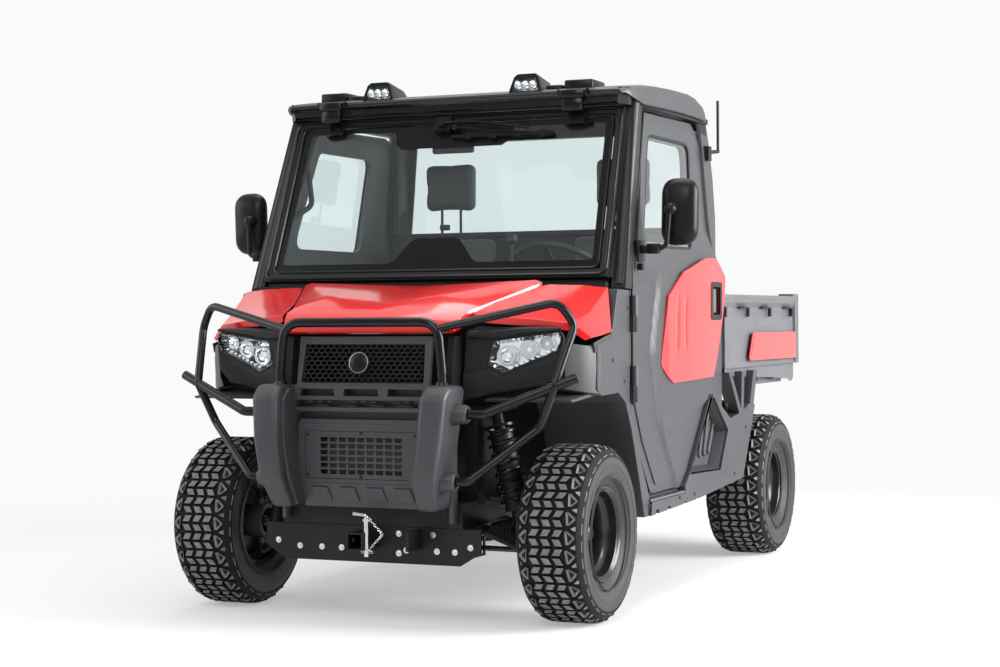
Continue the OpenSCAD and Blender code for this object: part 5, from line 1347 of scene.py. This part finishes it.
def build_roof():
    """The roof's moulded shell: rolled shoulders, a raked front corner and a rounded rear end."""
    bm = bmesh.new()
    rows = []
    for y, top, low, reach in ROOF_ROWS:
        top, reach = top - 0.01, reach - 0.008
        h = top - low
        half = [(reach, y, low), (reach, y, low + 0.42 * h), (reach - 0.003, y, low + 0.7 * h),
                (reach - 0.014, y, low + 0.89 * h), (reach - 0.045, y, top), (reach - 0.12, y, top + 0.002),
                (0.45, y, top + 0.003), (0.2, y, top + 0.003)]
        rows.append(half + [(-a, b, c) for a, b, c in reversed(half)])
    skin(bm, rows)
    with_thickness(bm, -0.012)
    solid(bm, "roof_shell", "chassis", charcoal, ("roof",), bevel=0.004, segments=3,
          recalc=False, sharp=math.radians(35))
    drip = bmesh.new()
    tube(drip, [(0.7415, y, low - 0.001) for y, _, low, _ in ROOF_ROWS[3:11]], 0.004, steps=8)
    mirrored(drip)
    solid(drip, "roof_drip_edges", "chassis", soft_black, recalc=True)


def build_pillars():
    """Rounded front pillar covers, and the moulded corners behind the doors."""
    fore = bmesh.new()
    tube(fore, [(0.762, -0.872, 1.2), (0.746, -0.774, 1.46), (0.729, -0.664, 1.74), (0.72, -0.604, 1.893)],
         0.0275, steps=24)
    mirrored(fore)
    solid(fore, "front_pillar_covers", "chassis", pillar_black, recalc=True)
    aft = bmesh.new()
    rows = []
    for z, front, rear in ((1.905, 0.2, 0.318), (1.87, 0.212, 0.333), (1.8, 0.221, 0.346),
                           (1.67, 0.222, 0.358), (1.5, 0.224, 0.348), (1.42, 0.232, 0.33),
                           (1.36, 0.252, 0.312), (1.33, 0.268, 0.302)):
        x = 0.766 - 0.0805 * max(0, z - 1.33)
        rows.append([(x - 0.012, front, z), (x - 0.001, front + 0.004, z), (x, front + 0.012, z),
                     (x - 0.001, rear - 0.024, z), (x - 0.008, rear - 0.008, z), (x - 0.024, rear, z),
                     (x - 0.07, rear - 0.008, z), (x - 0.1, 0.286, z)])
    skin(aft, rows)
    with_thickness(aft, -0.004)
    mirrored(aft)
    solid(aft, "rear_pillar_corners", "chassis", charcoal, bevel=0, recalc=False,
          sharp=math.radians(50))


def build_roof_front():
    bm = bmesh.new()
    # two stepped bands across the front with a groove between them
    plate(bm, [(-0.7, -0.716, 1.928), (0.7, -0.716, 1.928), (0.712, -0.698, 1.952),
               (-0.712, -0.698, 1.952)], (0, 0.03, 0.001))
    plate(bm, [(-0.69, -0.704, 1.897), (0.69, -0.704, 1.897), (0.698, -0.7, 1.92), (-0.698, -0.7, 1.92)],
          (0, 0.05, 0.0))
    for s in (-1, 1):
        plate(bm, [(s * 0.69, -0.7, 1.89), (s * 0.728, -0.66, 1.885), (s * 0.728, -0.672, 1.954),
                   (s * 0.7, -0.712, 1.952)], (0, 0.03, 0))
        for x0, x1, z0, z1 in ((0.392, 0.462, 1.95, 1.976), (0.468, 0.585, 1.95, 1.992)):
            a, b = (x0, x1) if s > 0 else (-x1, -x0)
            box(bm, (a, -0.682, z0), (b, -0.54, z1), bevel=0.008, segments=2)
    bmesh.ops.recalc_face_normals(bm, faces=bm.faces)
    solid(bm, "roof_front", "chassis", deep_black, bevel=0.0025)
    pods, chrome, lens = bmesh.new(), bmesh.new(), bmesh.new()
    for s in (-1, 1):
        x = s * 0.317
        face = [(x - 0.07, -0.706, 1.942), (x + 0.07, -0.706, 1.942), (x + 0.066, -0.704, 1.962),
                (x + 0.05, -0.694, 2.012), (x + 0.036, -0.69, 2.0235), (x - 0.036, -0.69, 2.0235),
                (x - 0.05, -0.694, 2.012), (x - 0.066, -0.704, 1.962)]
        hole = [(x - 0.055, -0.705, 1.953), (x + 0.055, -0.705, 1.953), (x + 0.041, -0.696, 2.002),
                (x + 0.034, -0.694, 2.007), (x - 0.034, -0.694, 2.007), (x - 0.041, -0.696, 2.002)]
        plate(pods, face, (0, 0.024, 0), holes=(hole,))
        shell = [[Vector(p) + Vector((0, 0.02, 0)) for p in face[2:]],
                 [Vector((x + (px - x) * 0.9, -0.56, 1.965 + (pz - 1.965) * 0.72)) for px, _, pz in face[2:]],
                 [Vector((x + (px - x) * 0.75, -0.52, 1.98 + (pz - 1.98) * 0.1)) for px, _, pz in face[2:]]]
        inner = bmesh.new()
        skin(inner, shell)
        with_thickness(inner, 0.004)
        spare = bpy.data.meshes.new("spare")
        inner.to_mesh(spare)
        inner.free()
        pods.from_mesh(spare)
        bpy.data.meshes.remove(spare)
        plate(chrome, [(a, b + 0.03, c) for a, b, c in hole], (0, 0.004, 0))
        for k in range(3):
            lathe(chrome, [(0.003, 0.003), (0.008, 0.005), (0.0135, 0.013), (0.016, 0.024), (0.0165, 0.024),
                           (0.0165, 0.0), (0.003, 0.0)], (x - 0.031 + 0.031 * k, -0.674, 1.978),
                  (0, -1, 0.06), steps=24)
        plate(lens, [(a, b + 0.006, c) for a, b, c in hole], (0, 0.003, 0))
    solid(pods, "work_light_pods", "chassis", deep_black, ("work_lights",), bevel=0.003,
          recalc=True)
    solid(chrome, "work_light_reflectors", "chassis", mirror_chrome)
    solid(lens, "work_light_lenses", "chassis", lens_clear)


STEERING_HUB = Vector((0.350, -0.450, 1.262))


def build_inside():
    trim = bmesh.new()
    box(trim, (-0.66, 0.236, 1.436), (0.66, 0.262, 1.462), bevel=0.006)
    for s in (-1, 1):
        tube(trim, [(s * 0.684, 0.2, 1.46), (s * 0.684, 0.2, 1.86)], 0.03, steps=10)
    tube(trim, rounded_path([(-0.725, -0.66, 1.74), (-0.69, -0.6, 1.7), (-0.68, -0.585, 1.55),
                             (-0.73, -0.67, 1.49)], 0.04), 0.011, steps=12)
    rod(trim, (-0.03, -0.63, 1.85), (-0.03, -0.61, 1.79), 0.008, steps=12)
    box(trim, (-0.12, -0.622, 1.735), (0.06, -0.6, 1.79), bevel=0.01, segments=3)
    solid(trim, "cab_trim", "chassis", soft_black, bevel=0.0015, recalc=True)
    wheel = bmesh.new()
    turn = Matrix.Translation(STEERING_HUB) @ Matrix.Rotation(math.radians(-35), 4, "X")
    lathe(wheel, [(0.185 + 0.0135 * math.cos(a), 0.0135 * math.sin(a))
                  for a in [math.tau * k / 12 for k in range(13)]], (0, 0, 0), (0, 0, 1), steps=64)
    for angle in (-90, 30, 150):
        spoke = Matrix.Rotation(math.radians(angle), 3, "Z")
        pts = [(0.03, -0.024, -0.03), (0.03, 0.024, -0.03), (0.178, 0.013, -0.006), (0.178, -0.013, -0.006)]
        plate(wheel, [spoke @ Vector(p) for p in pts], spoke @ Vector((0.002, 0, 0.01)))
    lathe(wheel, [(0.0005, 0.004), (0.03, 0.004), (0.05, 0), (0.062, -0.008), (0.06, -0.02), (0.034, -0.03),
                  (0.03, -0.05), (0.022, -0.05)], (0, 0, 0), (0, 0, 1), steps=40)
    bmesh.ops.transform(wheel, matrix=turn, verts=wheel.verts)
    solid(wheel, "steering_wheel_shape", "steering_wheel", soft_black,
          ("steering_wheel",), bevel=0.0015, recalc=True)
    belts = bmesh.new()
    for s in (-1, 1):
        path = rounded_path([(s * 0.655, 0.195, 1.56), (s * 0.62, 0.165, 1.44), (s * 0.6, 0.15, 1.2),
                             (s * 0.62, 0.12, 0.93)], 0.05)
        for a, b in zip(path, path[1:]):
            side = Vector((0.022, 0.008, 0))
            plate(belts, [a - side, a + side, b + side, b - side], (0, 0.0016, 0))
    bmesh.ops.remove_doubles(belts, verts=belts.verts, dist=1e-4)
    solid(belts, "seat_belts", "chassis", webbing, recalc=True)


build_windscreen()
build_wiper()
build_roof_front()
build_inside()
build_roof()
build_pillars()


# ---------------------------------------------------------------- bed, sides and running gear


def open_sides(bm):
    """Takes the outer side faces off the bed, for the pressed skins set just inside them."""
    sides = [f for f in bm.faces if abs(f.normal.x) > 0.99 and abs(f.calc_center_median().x) > 0.7745]
    bmesh.ops.delete(bm, geom=sides, context="FACES_ONLY")


def set_back(bm):
    """Takes the tailgate's outer face in, for the raised panels that stand on it."""
    for v in bm.verts:
        if v.co.y > 1.6045:
            v.co.y = 1.603


BED_FRONT, BED_REAR, BED_FOOT, BED_TOP = 0.39, 1.557, 0.86, 1.178


def build_bed():
    softened("cargo_bed", 0, keep=open_sides)
    softened("tailgate", 0.003, keep=set_back)
    bm = bmesh.new()

    def bed_relief(y, z):
        top = 0.012 * smooth(z, 1.135, 1.15)
        foot = 0.01 * (1 - smooth(z, 0.868, 0.884))
        fold = 1.069 - 0.035 * (y - 0.395)
        field = (-0.009 * smooth(z, fold - 0.006, fold + 0.05) * smooth(y, 0.43, 0.45)
                 * (1 - smooth(y, 1.5, 1.52)))
        return 0.7625 + top + foot + field * (1 - smooth(z, 1.12, 1.135))

    side = [(BED_FRONT, BED_FOOT), (BED_REAR, BED_FOOT), (BED_REAR, BED_TOP), (BED_FRONT, BED_TOP)]
    pressed(bm, side, (), 0.022, bed_relief, 0.012)
    hooks = bmesh.new()
    for start, end in ((0.405, 0.43), (0.64, 0.776), (0.99, 1.132), (1.38, 1.515)):
        box(hooks, (0.75, start, 1.119), (0.7748, end, 1.126), bevel=0.0015)
        box(hooks, (0.762, end - 0.02, 1.082), (0.7748, end, 1.12), bevel=0.0015)
    mirrored(hooks)
    solid(hooks, "bed_tie_hooks", "cargo_bed", soft_black)
    # top rail, front corner and rear post
    box(bm, (0.734, 0.3895, 1.156), (0.775, 1.557, 1.179), bevel=0.005)
    box(bm, (0.737, 0.3895, 0.86), (0.768, 0.43, 1.177), bevel=0.004)
    box(bm, (0.737, 0.4, 0.86), (0.742, 1.6, 1.177))
    box(bm, (0.731, 1.552, 0.86), (0.7745, 1.604, 1.184), bevel=0.003)
    box(bm, (0.7, 1.52, 1.176), (0.7755, 1.605, 1.19), bevel=0.003)
    # braces under the side
    for y in (0.46, 0.72, 0.98, 1.24):
        box(bm, (0.72, y, 0.79), (0.752, y + 0.012, 0.862), bevel=0.002)
    plate(bm, [(0.757, 0.42, 0.862), (0.757, 1.56, 0.862), (0.757, 1.557, 0.79), (0.757, 1.52, 0.772),
               (0.757, 1.46, 0.785), (0.757, 1.2, 0.8), (0.757, 0.45, 0.828)], (0.004, 0, 0))
    mirrored(bm)
    solid(bm, "bed_side_skins", "cargo_bed", bed_grey, bevel=0.0015, segments=1, recalc=False,
          sharp=math.radians(40))
    trim = bmesh.new()
    outline = rounded_outline([(0.735, 0.888), (0.805, 1.011), (1.53, 1.009), (1.535, 0.885)], 0.02, 4)
    plate(trim, [(0.776, y, z) for y, z in outline], (0.006, 0, 0))
    field = rounded_outline([(0.765, 0.902), (0.82, 0.997), (1.516, 0.995), (1.52, 0.899)], 0.014, 4)
    plate(trim, [(0.7815, y, z) for y, z in field], (0.0025, 0, 0))
    mirrored(trim)
    solid(trim, "bed_red_panels", "cargo_bed", red_paint, ("bed_panels",), bevel=0.003,
          segments=3, recalc=False)
    tail = bmesh.new()
    for x0, x1 in ((-0.66, -0.34), (-0.3, 0.3), (0.34, 0.66)):
        plate(tail, [(x0, 1.602, 0.94), (x1, 1.602, 0.94), (x1, 1.602, 1.12), (x0, 1.602, 1.12)],
              (0, 0.003, 0))
    box(tail, (-0.09, 1.59, 1.125), (0.09, 1.6048, 1.155), bevel=0.003)
    solid(tail, "tailgate_details", "tailgate", bed_grey, bevel=0, recalc=True)


def build_sides():
    vents, ledge = bmesh.new(), bmesh.new()
    for k in range(5):
        y, z = -0.02 + 0.062 * k, 0.5 + 0.004 * k
        reach = 0.155 + 0.012 * k if k < 4 else 0.12
        lean_y = 0.075
        tube(vents, rounded_path([(0.7455, y + 0.024, z - 0.004), (0.7455, y, z),
                                  (0.7455, y + lean_y, z + reach),
                                  (0.7455, y + lean_y + 0.024, z + reach + 0.004)], 0.008, 3),
             0.0065, steps=8)
    outline = [(0.115, 0.7375), (-0.132, 0.471), (-0.12, 0.459), (0.252, 0.447), (0.362, 0.601),
               (0.176, 0.739)]
    ring = [Vector((0.786, y, z)) for y, z in outline]
    deep = [Vector((0.744, y * 0.93 + 0.01, 0.595 + (z - 0.595) * 0.9)) for y, z in outline]
    skin(vents, [ring + ring[:1], deep + deep[:1]])
    with_thickness(vents, 0.002)
    mirrored(vents)
    solid(vents, "side_vents", "chassis", charcoal, recalc=False)
    plate(ledge, [(0.7625, -0.636, 0.386), (0.7935, -0.636, 0.386), (0.7935, -0.22, 0.386),
                  (0.7625, -0.22, 0.386)], (0, 0, 0.008))
    for k in range(9):
        box(ledge, (0.766, -0.62 + 0.044 * k, 0.393), (0.791, -0.606 + 0.044 * k, 0.3965))
    mirrored(ledge)
    solid(ledge, "step_ledges", "chassis", trim_grey, bevel=0.001, recalc=False)
    dots = bmesh.new()
    for y, z in ((-1.02, 0.93), (-0.86, 1.12), (-0.66, 0.372), (-0.29, 0.372), (-0.1, 0.37), (0.46, 0.41),
                 (0.63, 0.60), (0.35, 0.71), (-0.9, 0.85)):
        foot, head = (0.7835, 0.7872) if y < -0.65 and z > 0.5 else (0.7925, 0.7965)
        rod(dots, (foot, y, z), (head, y, z), 0.0085, 0.007, steps=16)
    mirrored(dots)
    solid(dots, "side_fasteners", "chassis", soft_black, bevel=0.0006, recalc=False)


def coil(bm, low, high, radius, turns, wire):
    low, high = Vector(low), Vector(high)
    way = (high - low)
    side = way.cross(Vector((0, 1, 0))).normalized()
    over = way.normalized().cross(side)
    path = []
    for k in range(turns * 16 + 1):
        t = k / (turns * 16)
        a = math.tau * turns * t
        path.append(low + way * t + (side * math.cos(a) + over * math.sin(a)) * radius)
    tube(bm, path, wire, steps=8)


def build_running_gear():
    springs, boots = bmesh.new(), bmesh.new()
    low, high = Vector((0.52, -1.21, 0.262)), Vector((0.405, -1.2, 0.752))
    a, b = low.lerp(high, 0.34), low.lerp(high, 0.88)
    coil(springs, a, b, 0.049, 8, 0.0065)
    for p, q in ((a, a.lerp(b, 0.02)), (b, b.lerp(high, 0.15))):
        rod(springs, p, q, 0.056, steps=28)
    mirrored(springs)
    solid(springs, "shock_springs", "chassis", satin_tube, recalc=True)
    for centre, way, length, r0, r1 in (((0.455, -1.14, 0.3155), (-1, 0, 0), 0.1, 0.052, 0.03),
                                        ((0.2, -1.14, 0.3155), (1, 0, 0), 0.08, 0.048, 0.03)):
        profile = [(0.012, 0)]
        for k in range(7):
            share = k / 6
            r = r0 + (r1 - r0) * share
            profile += [(r, length * (k + 0.1) / 7), (r, length * (k + 0.45) / 7),
                        (r * 0.8, length * (k + 0.75) / 7)]
        profile += [(0.012, length)]
        lathe(boots, profile, centre, way, steps=28)
    mirrored(boots)
    solid(boots, "axle_boots", "chassis", soft_black, recalc=True)


# ---------------------------------------------------------------- seats

SEAT_X = 0.4


def cushion_form(low, high, pinch):
    bm = bmesh.new()
    box(bm, low, high, bevel=pinch, segments=4)
    return bm


def stuffed(bm, name, turn, cap, seams):
    """A padded piece: blown up gently by cloth pressure, its seams held in."""
    if turn:
        bmesh.ops.transform(bm, matrix=turn, verts=bm.verts)
    mesh = bpy.data.meshes.new(name)
    bm.to_mesh(mesh)
    bm.free()
    piece = bpy.data.objects.new(name, mesh)
    bpy.context.collection.objects.link(piece)
    remesh = piece.modifiers.new("even", "REMESH")
    remesh.mode, remesh.voxel_size = "VOXEL", 0.006
    made = bpy.data.meshes.new_from_object(piece.evaluated_get(bpy.context.evaluated_depsgraph_get()))
    piece.modifiers.clear()
    piece.data = made
    start = [v.co.copy() for v in made.vertices]
    cloth = piece.modifiers.new("pressure", "CLOTH")
    cloth.settings.use_pressure = True
    cloth.settings.uniform_pressure_force = 4
    cloth.settings.effector_weights.gravity = 0
    pinned = piece.vertex_groups.new(name="seams")
    pinned.add([v.index for v in made.vertices if seams(v.co)], 1.0, "REPLACE")
    cloth.settings.vertex_group_mass = "seams"
    for frame_number in range(1, 21):
        bpy.context.scene.frame_set(frame_number)
    blown = bpy.data.meshes.new_from_object(piece.evaluated_get(bpy.context.evaluated_depsgraph_get()))
    piece.modifiers.clear()
    for v, was in zip(blown.vertices, start):
        step = v.co - was
        if step.length > cap:
            v.co = was + step.normalized() * cap
    piece.data = blown
    bpy.context.scene.frame_set(1)
    piece.data.materials.clear()
    piece.data.materials.append(vinyl)
    piece.data.polygons.foreach_set("use_smooth", [True] * len(piece.data.polygons))
    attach(piece, "chassis")
    smoother = piece.modifiers.new("smooth", "SUBSURF")
    smoother.levels = smoother.render_levels = 1
    return piece


def build_seats():
    lean = Matrix.Translation((0, 0.1, 0.9)) @ Matrix.Rotation(math.radians(-8), 4, "X")
    for side, word in ((-1, "right"), (1, "left")):
        x = SEAT_X * side
        seat_piece = stuffed(cushion_form((x - 0.218, -0.338, 0.894), (x + 0.218, 0.108, 0.95), 0.02),
                             "cushion_" + word, None, 0.012,
                             lambda p, x=x: abs(abs(p.x - x) - 0.13) < 0.006 and -0.3 < p.y < 0.06)
        stuffed(cushion_form((x - 0.212, -0.05, 0.045), (x + 0.212, 0.022, 0.53), 0.025),
                "backrest_" + word, lean, 0.012,
                lambda p, x=x: abs(abs(p.x - x) - 0.125) < 0.006 and 0.98 < p.z < 1.36)
        stuffed(cushion_form((x - 0.118, 0.132, 1.552), (x + 0.118, 0.198, 1.758), 0.03),
                "headrest_" + word, None, 0.008, lambda p, x=x: False)
        if side < 0:
            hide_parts("seats")
    fittings = bmesh.new()
    for s in (-SEAT_X, SEAT_X):
        for dx in (-0.045, 0.045):
            rod(fittings, (s + dx, 0.165, 1.42), (s + dx, 0.167, 1.6), 0.006, steps=14)
        box(fittings, (s - 0.15, -0.3, 0.861), (s + 0.15, 0.11, 0.892), bevel=0.006)
        box(fittings, (s - 0.012 - 0.04, 0.15, 1.47), (s + 0.012 - 0.02, 0.175, 1.495), bevel=0.006)
    solid(fittings, "seat_fittings", "chassis", soft_black, recalc=True)


build_bed()
build_sides()
build_running_gear()
build_seats()
